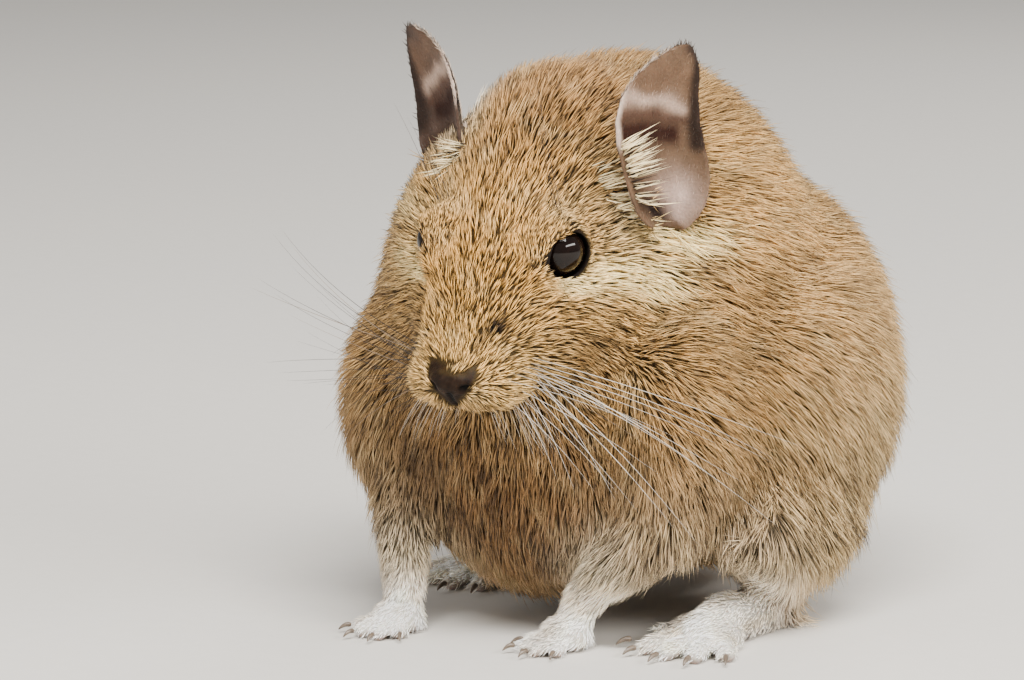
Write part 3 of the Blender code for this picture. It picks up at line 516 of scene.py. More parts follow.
MARKS_AND_SHADE_OVER_CREAM = (
    ("3A281A", 1.2, in_head(5.1, 15.8, -3.5), (1.0, 1.0, 0.8)),
    ("4A3323", 0.6, in_head(3.2, 18.2, -4.4), (0.7, 1.6, 1.3)),
    # A dark patch below and in front of the right eye.
    ("2E2015", 0.9, EYES["right"] + np.array((-1.6, -4.6, -2.0)), (1.8, 1.4, 2.6)),
    # Painted shade under the cheeks, over each jaw.
    ("6A4D33", 0.45, in_head(11.5, 9.0, -12.0), (4, 6, 2.4)),
    ("6A4D33", 0.45, in_head(-11.5, 9.0, -12.0), (4, 6, 2.4)),
    # Painted shade in the crease between the breast and the right foreleg.
    ("4E3724", 0.5, (-17, -22, 30), (5, 8, 7)),
)
GOLDEN = np.array((1.32, 1.22, 0.98))
WHITER = np.array((0.1, 0.2, 0.42))


def cream_at(points):
    """How far the coat is cream here."""
    return np.clip(np.max([around(points, centre, reach) for centre, reach in CREAM], axis=0) * 1.5, 0, 1)


def pale_feet_at(points, low, high):
    """How far the coat is white here: fully below the first height, and not above the other or on the tail."""
    return (1 - smoothstep(points[:, 2], low, high)) * (1 - smoothstep(points[:, 1], 50, 60))


def coat_colours_and_shade(points):
    """The coat's colours here: tan in darker and lighter patches, painted shade on the breast, the jaws and by
    the right foreleg, the marks, and pale feet.
    """
    low = 1 - smoothstep(points[:, 2], 7, 15)
    colours = coat_at(points)[2] * (GOLDEN + WHITER * low[:, None])
    patchy = (0.12 + 0.3 * blotches(points, 10, 3)) * (0.35 + 0.65 * beyond_head(points, 22, 34))
    colours = blend(colours, "62492F", patchy)
    colours = blend(colours, "DCC492", 0.25 * np.clip(blotches(points, 5, 4), 0, 1))
    for code, strong, centre, reach in MARKS_UNDER_CREAM:
        colours = blend(colours, code, strong * around(points, centre, reach))
    colours = blend(colours, "FFE6A6", cream_at(points))
    for code, strong, centre, reach in MARKS_AND_SHADE_OVER_CREAM:
        colours = blend(colours, code, strong * around(points, centre, reach))
    return colours


# The hide's own colours: dark skin under the fur, pinkish grey ears with dusky rims, black lids and nose, with
# painted shade inside the right ear, in the nostrils and in the cleft.
# The lids give directions from the ball's middle, and how far they open that way in millimetres.
# The nose gives how far it reaches to each side, at depths below the eyes.
LIDS = np.array((
    (0.21, -0.92, -0.33, 5.85), (0.38, -0.90, 0.18, 4.9), (0.55, -0.55, 0.62, 4.4), (0.68, -0.06, 0.74, 4.95),
    (0.81, 0.40, 0.42, 4.6), (0.86, 0.48, -0.17, 4.75), (0.66, 0.34, -0.66, 4.9), (0.5, -0.3, -0.8, 4.7),
))
NOSE_DOWN, NOSE_WIDE = (5.0, 7.0, 8.0, 9.0, 10.0, 11.0, 13.0), (4.3, 4.4, 3.7, 2.6, 1.5, 0.8, 0.5)
NOSE_TOP = -5.6
is_ear = np.isin(owner, EAR_NUMBERS)
skin_share = 0.06 + 0.1 * beyond_head(spots, 24, 42) + 0.45 * pale_feet_at(spots, 7, 15)
skin_colours = coat_colours_and_shade(spots) * skin_share[:, None]
lid = np.full(len(spots), 4.7)
for side, sign in SIDES.items():
    off = unit(spots - EYES[side])
    share = np.exp((off @ (LIDS[:, :3] * (sign, 1, 1)).T - 1) / 0.05)
    this_side = (spots[:, 0] - BETWEEN_EYES[0]) * sign > 0
    lid = np.where(this_side, share @ LIDS[:, 3] / share.sum(1), lid)
cup = np.zeros(len(spots))
for side, (foot, rear, face, up) in EARS.items():
    here = owner == NUMBERS["ear_" + side]
    cup = np.where(here, smoothstep(facing @ face, -0.1, 0.2), cup)
    high, across = on_ear(spots, side)
    high = high + 0.02 * blotches(spots, 6, 70) + 0.03 * across
    # The right ear's inside is painted darker and its pale patch kept weak: painted shade, as that ear's cup
    # lies in shade.
    inner = np.tile(linear("65503F" if side == "left" else "52423A"), (len(spots), 1))
    lit = 1.0 if side == "left" else 0.3
    for code, share in (
        ("B59C90", lit * band(high, 0.17, 0.075) * band(across, 0.35, 0.4)),
        ("2C1812", 1.1 * band(high, 0.49, 0.05) * (1 - smoothstep(across, 0.0, 0.5))),
        ("4A342A", 0.8 * band(high, 0.58, 0.03) * (1 - smoothstep(across, 0.4, 0.9))),
        ("B39A8A", 0.95 * band(high, 0.655, 0.03) * (1 - smoothstep(across, 0.2, 0.8))),
        ("6B5240", 0.6 * band(high, 0.80, 0.07)),
        ("2A201C", 0.95 * smoothstep(across, 0.3, 0.75) * smoothstep(high, 0.42, 0.5)),
        ("2E2420", 0.9 * smoothstep(high, 0.9, 0.97) * smoothstep(across, -0.4, 0.3)),
        ("1E1411", 1.1 * band(high, 0.08, 0.04) * band(across, -0.35, 0.45)),
        ("C9B3A4", 0.9 * (1 - smoothstep(across, -1.02, -0.92)) * smoothstep(high, 0.35, 0.45)),
    ):
        inner = blend(inner, code, share)
    inner = inner * (1 + 0.10 * blotches(spots, 3, 8))[:, None]
    outer = np.tile(linear("3E332B"), (len(spots), 1))
    outer = blend(outer, "171210", 0.9 * (1 - smoothstep(across, -0.95, -0.55)))
    outer = blend(outer, "9C8977", 0.8 * (1 - smoothstep(high, 0.15, 0.4)))
    both = outer + (inner - outer) * cup[:, None]
    skin_colours = np.where(here[:, None], both, skin_colours)
skin_colours = blend(skin_colours, "15100E", 1 - smoothstep(to_eye - lid, 0.0, 0.35))
aside, back, above = ((spots - BETWEEN_EYES) @ np.array(HEAD)).T
from_middle = aside + 0.5
is_nose = smoothstep(np.interp(-above, NOSE_DOWN, NOSE_WIDE) - np.abs(from_middle), -0.2, 0.25)
is_nose = is_nose * (1 - smoothstep(above - (NOSE_TOP - 0.045 * from_middle**2), -0.2, 0.3))
is_nose = is_nose * smoothstep(-back, 19.5, 21.0) * (1 - smoothstep(-above, 13.0, 13.6))
# The nose leather is dark brown; the nostrils and the cleft are painted nearly black, as painted shade in the
# openings and the groove.
nose_leather_and_shade = np.tile(linear("231811"), (len(spots), 1)) * (1 + 0.3 * blotches(spots, 1.2, 17))[:, None]
nose_leather_and_shade = blend(nose_leather_and_shade, "030202", 1.4 * dent)
nose_leather_and_shade = blend(nose_leather_and_shade, "070404", 1.2 * cleft)
skin_colours = skin_colours + (nose_leather_and_shade - skin_colours) * is_nose[:, None]
skin_colours = blend(skin_colours, "3A2B24", cleft * (1 - is_nose))
skin_colours = blend(skin_colours, "9A8880", (1 - smoothstep(spots[:, 2], 0.3, 1.6)) * 0.9)


def paint_points(mesh, name, colours):
    layer = mesh.color_attributes.new(name, "FLOAT_COLOR", "POINT")
    full = np.concatenate([np.clip(colours, 0, 1), np.ones((len(colours), 1))], 1)
    layer.data.foreach_set("color", full.astype(np.float32).ravel())


def mark_points(mesh, name, values):
    layer = mesh.attributes.new(name, "FLOAT", "POINT")
    layer.data.foreach_set("value", np.asarray(values, np.float32))


def surface(name, **values):
    """A new material with its nodes and its shader, whose own sockets are given these values."""
    made = bpy.data.materials.new(name)
    made.use_nodes = True
    shader = made.node_tree.nodes["Principled BSDF"]
    for socket, value in values.items():
        shader.inputs[socket.replace("_", " ")].default_value = value
    return made, made.node_tree, shader


def node(tree, kind, settings=None, **links):
    """One node with its settings, its inputs given values or wired to other nodes' outputs."""
    made = tree.nodes.new(kind)
    for name, value in (settings or {}).items():
        setattr(made, name, value)
    for name, value in links.items():
        socket = made.inputs[int(name[1:])] if name[0] == "_" else made.inputs[name.replace("_", " ")]
        if isinstance(value, bpy.types.NodeSocket):
            tree.links.new(value, socket)
        else:
            socket.default_value = value
    return made


MULTIPLIED = {"data_type": "RGBA", "blend_type": "MULTIPLY"}

# Bare skin: slightly oily, so a low wide gloss, with pores finer than half a millimetre that
# the eye reads only as softness; they are drawn at 0.4 mm.
skin, tree, shader = surface(
    "bare skin under fur", Roughness=0.5, IOR=1.4, Specular_IOR_Level=0.12,
    Subsurface_Weight=0.15, Subsurface_Scale=0.001, Subsurface_Radius=(1.0, 0.35, 0.2),
)
colour_and_shade = node(tree, "ShaderNodeAttribute", {"attribute_name": "colour_and_shade"})
where = node(tree, "ShaderNodeTexCoord")
pores = node(tree, "ShaderNodeTexNoise", Vector=where.outputs["Object"], Scale=2500.0, Detail=3.0)
grey = node(
    tree, "ShaderNodeMapRange", Value=pores.outputs[0], From_Min=0.3, From_Max=0.7, To_Min=0.85, To_Max=1.12,
)
tinted = node(tree, "ShaderNodeMix", MULTIPLIED, _0=1.0, _6=colour_and_shade.outputs["Color"], _7=grey.outputs[0])
bump = node(tree, "ShaderNodeBump", Strength=0.35, Distance=0.0003, Height=pores.outputs[0])
tree.links.new(tinted.outputs[2], shader.inputs["Base Color"])
tree.links.new(bump.outputs[0], shader.inputs["Normal"])
# The hide's colours, with their painted shade, go to the skin as a colour attribute.
paint_points(hide.data, "colour_and_shade", skin_colours)
hide.data.materials.clear()
hide.data.materials.append(skin)
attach(hide, "root")
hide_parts(*FLESH, "tail_brush")


# The coat. Short agouti hair in thin tufts, each dark at its root, partly its own dark base and partly
# painted shade deep in the coat, with a light band and a darker tip.
# Every tuft is rooted in the hide and lies over the next, as far out as the carved body reaches.
def unwrapped(thing):
    """A light copy of the hide laid out flat, for the place of each tuft on the hide's own unwrap."""
    light = placed("light", thing.data.copy())
    fewer = light.modifiers.new("fewer", "DECIMATE")
    fewer.ratio = 0.05
    finished(light)
    bpy.context.view_layer.objects.active = light
    light.select_set(True)
    bpy.ops.object.mode_set(mode="EDIT")
    bpy.ops.mesh.select_all(action="SELECT")
    bpy.ops.uv.smart_project(angle_limit=math.radians(66), island_margin=0.004)
    bpy.ops.object.mode_set(mode="OBJECT")
    mesh = light.data
    mesh.calc_loop_triangles()
    laid = read(mesh.uv_layers.active.data, "uv", 2)[read(mesh.loop_triangles, "loops", 3, np.int32)]
    solid = places(mesh)[read(mesh.loop_triangles, "vertices", 3, np.int32)]
    bpy.data.objects.remove(light)
    return solid, laid


def spot_on(flat, points):
    """Where these places lie on the unwrap."""
    solid, laid = flat
    tree = BVHTree.FromPolygons(
        solid.reshape(-1, 3).tolist(), np.arange(len(solid) * 3).reshape(-1, 3).tolist(),
    )
    hits = [tree.find_nearest(p) for p in points.tolist()]
    face = np.array([h[2] for h in hits])
    at = np.array([tuple(h[0]) for h in hits])
    a, b, c = (solid[face, k] for k in range(3))
    ab, ac, ap = b - a, c - a, at - a
    d00, d01, d11 = (ab * ab).sum(1), (ab * ac).sum(1), (ac * ac).sum(1)
    d20, d21 = (ap * ab).sum(1), (ap * ac).sum(1)
    low = np.maximum(d00 * d11 - d01 * d01, 1e-12)
    v = np.clip((d11 * d20 - d01 * d21) / low, 0, 1)
    w = np.clip((d00 * d21 - d01 * d20) / low, 0, 1)
    u = 1 - v - w
    return laid[face, 0] * u[:, None] + laid[face, 1] * v[:, None] + laid[face, 2] * w[:, None]


def roots(per_mm, number, cell_size=0.8):
    """Roots spread evenly over the hide, so many on a square millimetre: their places, the way out there,
    and the three corners of the hide round each one with their weights."""
    hide.data.calc_loop_triangles()
    tris = read(hide.data.loop_triangles, "vertices", 3, np.int32)
    at = places(hide.data)
    a, b, c = (at[tris[:, k]] for k in range(3))
    area = np.linalg.norm(np.cross(b - a, c - a), axis=1) / 2
    wanted = area * per_mm[tris].mean(1)
    middle = (a + b + c) / 3
    cell = np.clip(((middle - middle.min(0)) / cell_size).astype(np.int64), 0, 255)
    order = np.zeros(len(tris), np.int64)
    for bit in range(8):
        for axis in range(3):
            order |= ((cell[:, axis] >> bit) & 1) << (3 * bit + axis)
    rank = np.argsort(order, kind="stable")
    total = np.cumsum(wanted[rank])
    chance = seeded(number)
    marks = np.arange(int(total[-1])) + chance.uniform(0, 1, int(total[-1]))
    face = tris[rank[np.clip(np.searchsorted(total, marks), 0, len(tris) - 1)]]
    u, v = chance.uniform(0, 1, (2, len(face)))
    over = u + v > 1
    u[over], v[over] = 1 - u[over], 1 - v[over]
    weights = np.stack([1 - u - v, u, v], 1)
    return at_roots(spots, face, weights), unit(at_roots(facing, face, weights)), face, weights


def at_roots(values, face, weights):
    return (values[face] * weights[..., None]).sum(1)


def spike_faces(sides, levels, count):
    """The faces of so many closed spikes, each of rings with so many sides that end in a point."""
    faces = [(0, k, k + 1) for k in range(1, sides - 1)]
    for level in range(levels - 1):
        for k in range(sides):
            a, b = level * sides + k, level * sides + (k + 1) % sides
            faces += [(b, a, a + sides), (b, a + sides, b + sides)]
    last = (levels - 1) * sides
    faces += [(last + (k + 1) % sides, last + k, last + sides) for k in range(sides)]
    return (np.arange(count)[:, None, None] * (levels * sides + 1) + np.array(faces)[None]).reshape(-1, 3)


def bent(start, way_a, way_b, length, t):
    """Middle and heading at this share of the length of hairs that leave one way and end another."""
    middle = start + (way_a * t + (way_b - way_a) * (t * t / 2)) * length[:, None]
    return middle, unit(way_a + (way_b - way_a) * t)


ROOTED = 0.12  # millimetres that a tuft starts inside the hide
TAPER = (1.0, 0.92, 0.62)  # share of a tuft's width at each of its rings
FLAT = 0.5  # a tuft's height for its width
OFF_FLOOR = np.array((0.15, 0.15, 0.25))  # the least height of a ring's three points
PATCH = 0.0012  # half the side of a tuft's patch on the unwrap
SHORT_RINGS, LONG_RINGS = (0.0, 0.5), (0.0, 0.4, 0.72)
PER_PIECE = {2: 18400, 3: 11500}  # tufts in a piece, which keep it under 200,000 triangles


def tufts(name, root, out, lie, length, width, lift, rise_end, rings, laid, colours, tone, shade):
    """Tapering closed tufts of three sides: each leaves the hide at its lift and bends down along its lie."""
    count, levels = len(root), len(rings)
    size = levels * 3 + 1
    start = root - out * ROOTED
    way_a = lie * np.cos(lift)[:, None] + out * np.sin(lift)[:, None]
    way_b = lie * np.cos(rise_end)[:, None] + out * np.sin(rise_end)[:, None]
    verts = np.empty((count, size, 3))
    for level, t in enumerate(rings):
        middle, heading = bent(start, way_a, way_b, length, t)
        aside = unit(np.cross(heading, out))
        up = np.cross(aside, heading)
        half = width * TAPER[level] / 2
        tall = half * FLAT
        verts[:, level * 3] = middle - aside * half[:, None] - up * (tall * 0.5)[:, None]
        verts[:, level * 3 + 1] = middle + aside * half[:, None] - up * (tall * 0.5)[:, None]
        verts[:, level * 3 + 2] = middle + up * tall[:, None]
    verts[:, -1] = bent(start, way_a, way_b, length, 1.0)[0]
    verts[:, :, 2] = np.maximum(verts[:, :, 2], np.append(np.tile(OFF_FLOOR, levels), OFF_FLOOR[0]))
    faces = spike_faces(3, levels, count)
    thing = as_mesh(name, verts.reshape(-1, 3), faces)
    along = np.append(np.repeat(rings, 3), 1.0)
    paint_points(thing.data, "colour_and_shade", np.repeat(colours, size, axis=0))
    mark_points(thing.data, "along", np.tile(along, count))
    mark_points(thing.data, "tone", np.repeat(tone, size))
    mark_points(thing.data, "shade", np.repeat(shade, size))
    corner = np.array([(-1, -1), (1, -1), (0, 1)] * levels + [(0, 1)], float)
    corner[:, 1] += along - 0.5
    spread = (laid[:, None, :] + corner[None] * PATCH).reshape(-1, 2)[faces.ravel()]
    layer = thing.data.uv_layers.new(name="OFBake")
    layer.data.foreach_set("uv", np.clip(spread, 0.001, 0.999).astype(np.float32).ravel())
    return thing


# Agouti guard hair over dense underfur. Hair is 0.05 mm thick, too fine to show, so each
# tuft stands for a few dozen; its gloss is low and runs over the tufts' round sides.
MIXED = {"data_type": "RGBA"}
SMOOTH = {"interpolation_type": "SMOOTHSTEP"}
fur, tree, shader = surface("agouti fur", Roughness=0.55, IOR=1.55, Specular_IOR_Level=0.35)
colour_and_shade, along, tone, shade = (
    node(tree, "ShaderNodeAttribute", {"attribute_name": name})
    for name in ("colour_and_shade", "along", "tone", "shade")
)
# The darkening at each tuft's root, down to its shade value, is partly the hair's own dark base and partly
# painted shade deep in the coat.
root_dark = node(
    tree, "ShaderNodeMapRange", SMOOTH,
    Value=along.outputs["Fac"], From_Min=0.0, From_Max=0.6, To_Min=shade.outputs["Fac"], To_Max=1.0,
)
each = node(
    tree, "ShaderNodeMapRange",
    Value=tone.outputs["Fac"], From_Min=0.1, From_Max=1.0, To_Min=0.34, To_Max=1.75,
)
both = node(tree, "ShaderNodeMath", {"operation": "MULTIPLY"}, _0=root_dark.outputs[0], _1=each.outputs[0])
banded = node(tree, "ShaderNodeMix", MULTIPLIED, _0=1.0, _6=colour_and_shade.outputs["Color"], _7=both.outputs[0])
dark_few = node(
    tree, "ShaderNodeMapRange",
    Value=tone.outputs["Fac"], From_Min=0.36, From_Max=0.26, To_Min=0.0, To_Max=0.85,
)
tip = node(
    tree, "ShaderNodeMapRange", SMOOTH,
    Value=along.outputs["Fac"], From_Min=0.45, From_Max=0.85, To_Min=0.0, To_Max=1.0,
)
dark_tip = node(tree, "ShaderNodeMath", {"operation": "MULTIPLY"}, _0=dark_few.outputs[0], _1=tip.outputs[0])
tipped = node(
    tree, "ShaderNodeMix", MIXED, _0=dark_tip.outputs[0], _6=banded.outputs[2], _7=(*linear("2A1A10"), 1.0),
)
tree.links.new(tipped.outputs[2], shader.inputs["Base Color"])
flat_hide = unwrapped(hide)


def picked(coat, which):
    return {key: values[which] for key, values in coat.items()}


def lay(name, coat, rings):
    """Lays these tufts in pieces small enough to handle, sorted from the nose back."""
    order = np.argsort(coat["root"][:, 1], kind="stable")
    pieces = max(1, math.ceil(len(order) / PER_PIECE[len(rings)]))
    for number, some in enumerate(np.array_split(order, pieces)):
        part = picked(coat, some)
        piece = tufts(f"{name}_{number + 1}", rings=rings, laid=spot_on(flat_hide, part["root"]), **part)
        piece.data.materials.append(fur)
        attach(piece, "root")


def in_skin(way, out):
    """The way turned to lie in the skin."""
    return unit(way - out * (way * out).sum(1, keepdims=True))


# Where the tufts stand: closer round the eyes and the nose, and none on lids, nose, ears and soles.
sizes = coat_at(spots)[1]
per_mm = sizes[:, 3] * (1 + 0.18 * smoothstep(sizes[:, 1], 4, 6))
per_mm = per_mm * (1 + 1.1 * (1 - smoothstep(np.minimum(to_eye, to_nose - 1), 5.5, 10)))
per_mm = per_mm * smoothstep(to_eye - lid, 0.0, 0.3) * (1 - smoothstep(is_nose, 0.1, 0.4))
per_mm = per_mm * ~is_ear * (spots[:, 2] > 0.9)
root, out, _, _ = roots(per_mm, 11)
way, sizes, _ = coat_at(root)
count = len(root)
chance = seeded(12)

# The hair turns aside at the eyes, and swings a little from tuft to tuft and from patch to patch.
for eye in EYES.values():
    off = root - eye
    far = np.linalg.norm(off, axis=1)
    off = off / far[:, None]
    away = np.clip(0.25 - (unit(way) * off).sum(1), 0, 1.3)
    way = unit(way) + off * (away * (1 - smoothstep(far, 5.5, 9.5)))[:, None]
lie = in_skin(way, out)
swing = chance.normal(0, 0.15, count) + 0.22 * blotches(root, 5, 21)
lie = unit(lie + np.cross(out, lie) * swing[:, None])

# Tufts rise far enough to fill the coat's depth, and stand off most on the tail's brush.
# A few long thin guard hairs stand out over the body.
eye_near = eye_and_nose(root)[0]
depth, length, width = sizes[:, 0], sizes[:, 1], sizes[:, 2] * 0.9
length = length * (0.45 + 0.55 * smoothstep(eye_near, 5.0, 8.0)) * chance.uniform(0.75, 1.15, count)
depth = depth * (0.4 + 0.6 * smoothstep(eye_near, 5.2, 8.0))
lift = np.clip((depth + 0.3) / (0.65 * length), 0.15, 0.72) * chance.uniform(0.75, 1.25, count)
in_brush = sizes[:, 1] > 9
lift = np.where(in_brush, np.maximum(lift, chance.uniform(0.2, 0.5, count)), lift)
guard = (chance.uniform(0, 1, count) < 0.07) & (length > 4.5)
length = np.where(guard, length * 1.35, length)
width = np.where(guard, width * 0.6, width)

# Tufts differ in tone, less so where the coat is plain: on the pale feet, the cream and the low body.
tone = chance.uniform(0, 1, count)
pale_feet = pale_feet_at(root, 9, 17)
calm = 0.55 * beyond_head(root, 24, 42)
plain = np.maximum.reduce([pale_feet, cream_at(root) * 0.8, calm * smoothstep(root[:, 2], 14, 34)])
tone = tone + (0.45 + 0.15 * pale_feet + 0.4 * tone - tone) * plain
coat = dict(
    root=root, out=out, lie=lie, length=length, width=width, lift=lift, rise_end=lift * 0.3,
    colours=coat_colours_and_shade(root), tone=tone, shade=0.12 + 0.55 * plain,
)
short = length < 5.0
lay("coat_short", picked(coat, short), SHORT_RINGS)
lay("coat_long", picked(coat, ~short), LONG_RINGS)


# The ears' own hair. Cream tufts spring from the front of each cup's foot and fan back over it,
# a pale fringe edges the front rim, and the back is covered in very short dusky hair.
hide_tree = BVHTree.FromPolygons(spots.tolist(), [tuple(p.vertices) for p in hide.data.polygons])


def on_hide(guesses):
    hits = [hide_tree.find_nearest(g) for g in guesses.tolist()]
    return np.array([tuple(h[0]) for h in hits]), np.array([tuple(h[1]) for h in hits])


for number, (side, (foot, rear, face, up)) in enumerate(EARS.items()):
    chance = seeded(40 + number)
    count, highest = (260, 0.40) if side == "left" else (80, 0.15)
    high = chance.uniform(0.0, highest, count)
    reach = np.interp(high, EAR_RIM[:, 0], EAR_RIM[:, 1]) + chance.uniform(0.3, 3.2, count)
    guess = foot + up * (high * EAR_TALL)[:, None] - rear * reach[:, None]
    root, _ = on_hide(guess + face * chance.uniform(-1.8, 0.3, count)[:, None])
    fan = (high / 0.40) ** 1.3
    clump = blotches(root, 1.6, 60 + number)
    way = rear + up * (0.05 + 0.75 * fan + 0.22 * clump)[:, None] + face * 0.12
    way = way + chance.normal(0, 0.1, (count, 3))
    dark = chance.uniform(0, 1, count) < 0.22
    coat = dict(
        root=root, out=np.tile(unit((face * 0.6 - rear * 0.8)[None]), (count, 1)), lie=unit(way),
        length=chance.uniform(6.5, 11.0, count) * (1 + 0.15 * clump), width=chance.uniform(0.14, 0.26, count),
        lift=chance.uniform(0.85, 1.15, count), rise_end=np.full(count, -0.4),
        colours=np.where(dark[:, None], linear("241810"), linear("FFEBBC")),
        tone=chance.uniform(0.4, 0.95, count), shade=np.full(count, 0.3),
    )
    lay(f"ear_tuft_{side}", coat, LONG_RINGS)
    count = 420
    high = chance.uniform(0.3, 0.99, count)
    reach = np.interp(high, EAR_RIM[:, 0], EAR_RIM[:, 1])
    root, out = on_hide(foot + up * (high * EAR_TALL)[:, None] - rear * reach[:, None] + face * 0.5)
    way = up * 0.8 + rear * 0.5 + chance.normal(0, 0.2, (count, 3))
    coat = dict(
        root=root, out=out, lie=in_skin(way, out), length=chance.uniform(0.9, 1.7, count),
        width=np.full(count, 0.1), lift=np.full(count, 0.35), rise_end=np.full(count, 0.15),
        colours=np.tile(linear("B9A696"), (count, 1)), tone=chance.uniform(0.35, 0.9, count),
        shade=np.full(count, 0.7),
    )
    lay(f"ear_fringe_{side}", coat, SHORT_RINGS)
per_mm = np.where(is_ear, np.where(cup > 0.5, 1.3, 6.0), 0.0)
root, out, face, weights = roots(per_mm, 44)
inside = at_roots(cup[:, None], face, weights)[:, 0] > 0.5
chance = seeded(45)
count = len(root)
up = np.where((root[:, 0] > 0)[:, None], EARS["left"][3], EARS["right"][3])
way = up + chance.normal(0, 0.25, (count, 3))
coat = dict(
    root=root, out=out, lie=in_skin(way, out), length=chance.uniform(1.0, 1.8, count),
    width=np.where(inside, 0.08, 0.13), lift=chance.uniform(0.12, 0.3, count), rise_end=np.full(count, 0.08),
    colours=at_roots(skin_colours, face, weights) * np.where(inside, 1.25, 1.1)[:, None],
    tone=chance.uniform(0.35, 0.9, count), shade=np.full(count, 0.7),
)
lay("ear_down", coat, SHORT_RINGS)


# The eyes. Round, wet and dark, the iris so brown that little but the highlight shows; each is a
# whole ball that sits deep between the lids. The wet cornea gives the eye its sharp gloss.
def clouded(name, dark, light, scale, detail, **values):
    """A material whose colour drifts between two, in spots as fine as the scale says."""
    made, tree, shader = surface(name, **values)
    where = node(tree, "ShaderNodeTexCoord")
    drift = node(tree, "ShaderNodeTexNoise", Vector=where.outputs["Object"], Scale=scale, Detail=detail)
    dark, light = (*linear(dark), 1.0), (*linear(light), 1.0)
    mixed = node(tree, "ShaderNodeMix", MIXED, _0=drift.outputs[0], _6=dark, _7=light)
    tree.links.new(mixed.outputs[2], shader.inputs["Base Color"])
    return made


dark_eye = clouded(
    "wet dark eye", "070505", "1A0F0A", 900.0, 2.0, Roughness=0.03, IOR=1.376, Specular_IOR_Level=0.4,
)
for side in EYES:
    low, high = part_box("eye_" + side)
    centre, radius = (low + high) / 2, min(high - low) / 2
    ball = bmesh.new()
    stand = Matrix.Translation(centre)
    bmesh.ops.create_uvsphere(ball, u_segments=48, v_segments=32, radius=radius, matrix=stand)
    eyeball = object_of("eyeball_" + side, ball)
    eyeball.data.shade_smooth()
    eyeball.data.materials.append(dark_eye)
    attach(eyeball, "root")
    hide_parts("eye_" + side)


# The claws. Short curved nails of dark horn, one growing from each toe. Horn is laid down in fine
# streaks, drawn here at 0.7 mm, that run from dark grey to a paler brown under a low gloss.
horn = clouded("nail horn", "3C322B", "8A7A6A", 1500.0, 3.0, Roughness=0.3, IOR=1.54)
CLAWS = sorted(name for name in NODES if name.startswith("claw"))
nails = bmesh.new()
for name in CLAWS:
    nails.from_mesh(NODES[name].data)
bmesh.ops.remove_doubles(nails, verts=nails.verts, dist=1e-6)
claws = object_of("claws", nails)
rounder = claws.modifiers.new("round", "SUBSURF")
rounder.levels = rounder.render_levels = 1
finished(claws)
claws.data.shade_smooth()
claws.data.materials.clear()
claws.data.materials.append(horn)
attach(claws, "root")
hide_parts(*CLAWS)


# The whiskers. Stiff tapering hairs in four rows on each side of the muzzle, fine ones along the lip
# and three over each eye. Each is a stiff hair with a low gloss, rooted in the hide, pale on the lit
# side and darker at its root; 0.08 to 0.15 mm thick here, a little more than real, so that it shows.
whisker_hair, tree, shader = surface("whisker", Roughness=0.35, IOR=1.55)
colour_and_shade, along = [node(tree, "ShaderNodeAttribute", {"attribute_name": name}) for name in ("colour_and_shade", "along")]
paler = node(
    tree, "ShaderNodeMapRange",
    Value=along.outputs["Fac"], From_Min=0.0, From_Max=0.3, To_Min=0.45, To_Max=1.0,
)
shown = node(tree, "ShaderNodeMix", MULTIPLIED, _0=1.0, _6=colour_and_shade.outputs["Color"], _7=paler.outputs[0])
tree.links.new(shown.outputs[2], shader.inputs["Base Color"])

# For each row from the top: the way its hairs leave the muzzle, the way they end, and how long they are.
WHISKER_ROWS = {
    "left": (
        ((0.90, 0.10, -0.10), (0.66, 0.50, -0.38), 56), ((0.88, 0.10, -0.30), (0.62, 0.50, -0.62), 52),
        ((0.80, 0.08, -0.52), (0.52, 0.42, -0.85), 42), ((0.62, 0.00, -0.75), (0.34, 0.30, -1.0), 26),
    ),
    "right": (
        ((-0.90, -0.10, 0.34), (-0.80, 0.30, 0.42), 46), ((-0.92, -0.14, 0.16), (-0.82, 0.26, 0.14), 48),
        ((-0.92, -0.16, -0.06), (-0.80, 0.22, -0.16), 42), ((-0.86, -0.16, -0.34), (-0.66, 0.20, -0.60), 30),
    ),
}
# For each side: its pale and dusky hairs' colours, the share that is dusky, and the thickest hair.
WHISKER_LOOKS = {"left": ("EFE6DA", "6F5C49", 0.3, 0.125), "right": ("8A7660", "1C130E", 0.9, 0.15)}
chance = seeded(31)
bristles = []


def bristle(guess, leaving, ending, length, width, code):
    """Roots a whisker in the hide nearest to the guess."""
    bristles.append((on_hide(guess[None])[0][0], leaving, ending, length, width, linear(code)))


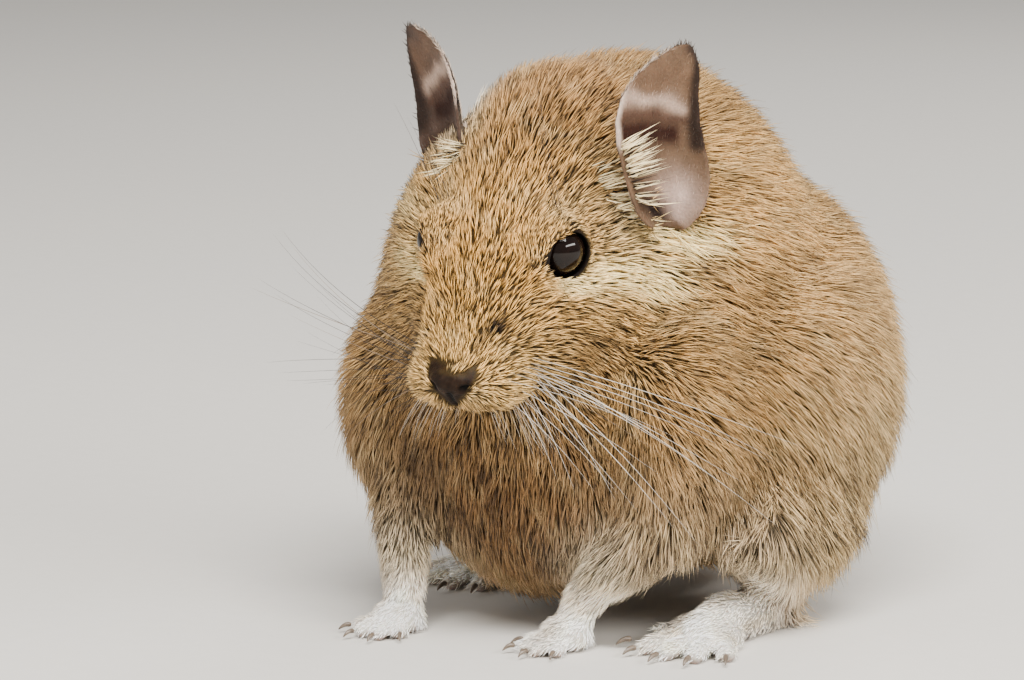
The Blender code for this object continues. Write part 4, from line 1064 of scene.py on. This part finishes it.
for side, sign in SIDES.items():
    pale, dusky, dusky_share, thickest = WHISKER_LOOKS[side]
    for row, (leaving, ending, long) in enumerate(WHISKER_ROWS[side]):
        for spread in np.arange(6) / 5:
            down = -9.3 - 1.3 * row + chance.uniform(-0.2, 0.2)
            bristle(
                in_head(sign * (9.4 - 2.6 * spread), 15.2 + 5.6 * spread, down),
                unit(np.array([leaving]))[0] + chance.normal(0, 0.05, 3),
                unit(np.array([ending]))[0] + spread * np.array((0, -0.16, 0.05)) + chance.normal(0, 0.06, 3),
                long * (1 - 0.45 * spread) * chance.uniform(0.85, 1.0),
                thickest - 0.045 * spread,
                dusky if chance.uniform() < dusky_share else pale,
            )
    for _ in range(20):
        spread = chance.uniform(0, 1)
        bristle(
            in_head(sign * (1.0 + 7.0 * spread), 22.4 - 5.0 * spread, -14.0 + chance.uniform(-0.8, 0.8)),
            np.array((sign * (0.15 + 0.7 * spread), -0.35 + 0.3 * spread, -0.8)) + chance.normal(0, 0.1, 3),
            np.array((sign * (0.1 + 0.5 * spread), 0.25, -1.0)) + chance.normal(0, 0.08, 3),
            (4 + 11 * spread) * chance.uniform(0.8, 1.15), 0.075, "E9DDCB",
        )
    for number in range(3):
        bristle(
            EYES[side] + np.array((-1.0 * sign + number * 1.2 * sign, 0, 7.5)),
            np.array((-0.25 + 0.1 * sign, 0.0, 0.95)) + chance.normal(0, 0.08, 3),
            np.array((-0.55 + 0.25 * sign, 0.1, 0.8)) + chance.normal(0, 0.08, 3),
            13 + 4 * number, 0.13, "33261D",
        )

STEPS, AROUND = 12, 6
start, leaving, ending, length, width, colours = (np.array(values) for values in zip(*bristles))
way_a, way_b = unit(leaving), unit(ending)
size = STEPS * AROUND + 1
verts = np.empty((len(bristles), size, 3))
for step in range(STEPS):
    t = step / STEPS
    middle, heading = bent(start - way_a, way_a, way_b, length, t)
    aside = unit(np.cross(heading, np.array((0.1, 0.2, 1.0))))
    up = np.cross(aside, heading)
    half = (width * (1 - 0.85 * t) / 2)[:, None]
    for k in range(AROUND):
        turn = 2 * math.pi * k / AROUND
        verts[:, step * AROUND + k] = middle + (aside * math.cos(turn) + up * math.sin(turn)) * half
verts[:, -1] = bent(start - way_a, way_a, way_b, length, 1.0)[0]
whiskers = as_mesh("whiskers", verts.reshape(-1, 3), spike_faces(AROUND, STEPS, len(bristles)))
along = np.append(np.repeat(np.arange(STEPS) / STEPS, AROUND), 1.0)
paint_points(whiskers.data, "colour_and_shade", np.repeat(colours, size, axis=0))
mark_points(whiskers.data, "along", np.tile(along, len(bristles)))
whiskers.data.materials.append(whisker_hair)
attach(whiskers, "root")
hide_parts("whiskers_left", "whiskers_right")


# The floor and light. A plain sheet of pale paper, and soft studio light: a key high in front, a long
# strip at the animal's left that lights its flank, a weak fill at its right and a rim from behind.
paper = clouded("pale paper floor", "D8D5CF", "DDDAD5", 300.0, 2.0, Roughness=0.8)
ground = bmesh.new()
bmesh.ops.create_grid(ground, x_segments=1, y_segments=1, size=6.0)
floor = object_of("floor", ground)
floor.data.materials.append(paper)


def lamp(name, stands_at, aims_at, wide, tall, watts, warm):
    data = bpy.data.lights.new(name, "AREA")
    data.energy = watts
    data.shape = "RECTANGLE"
    data.size, data.size_y = wide, tall
    data.color = warm
    thing = placed(name, data)
    thing.location = stands_at
    thing.rotation_euler = (Vector(aims_at) - Vector(stands_at)).to_track_quat("-Z", "Y").to_euler()


lamp("key", (0.34, -0.36, 0.78), (0.0, 0.0, 0.05), 0.66, 0.26, 15.5, (1.0, 0.96, 0.9))
lamp("side", (0.79, 0.02, 0.44), (0.0, 0.0, 0.05), 0.76, 0.1, 7.0, (1.0, 0.97, 0.92))
lamp("fill", (-0.55, -0.75, 0.35), (0.0, 0.0, 0.05), 0.6, 0.6, 3.0, (1.0, 0.98, 0.95))
lamp("rim", (-0.15, 0.75, 0.65), (0.0, 0.0, 0.06), 0.4, 0.4, 3.0, (1.0, 0.98, 0.95))
sky = bpy.data.worlds.new("studio")
sky.use_nodes = True
sky.node_tree.nodes["Background"].inputs["Color"].default_value = (0.88, 0.87, 0.86, 1.0)
sky.node_tree.nodes["Background"].inputs["Strength"].default_value = 0.42
bpy.context.scene.world = sky
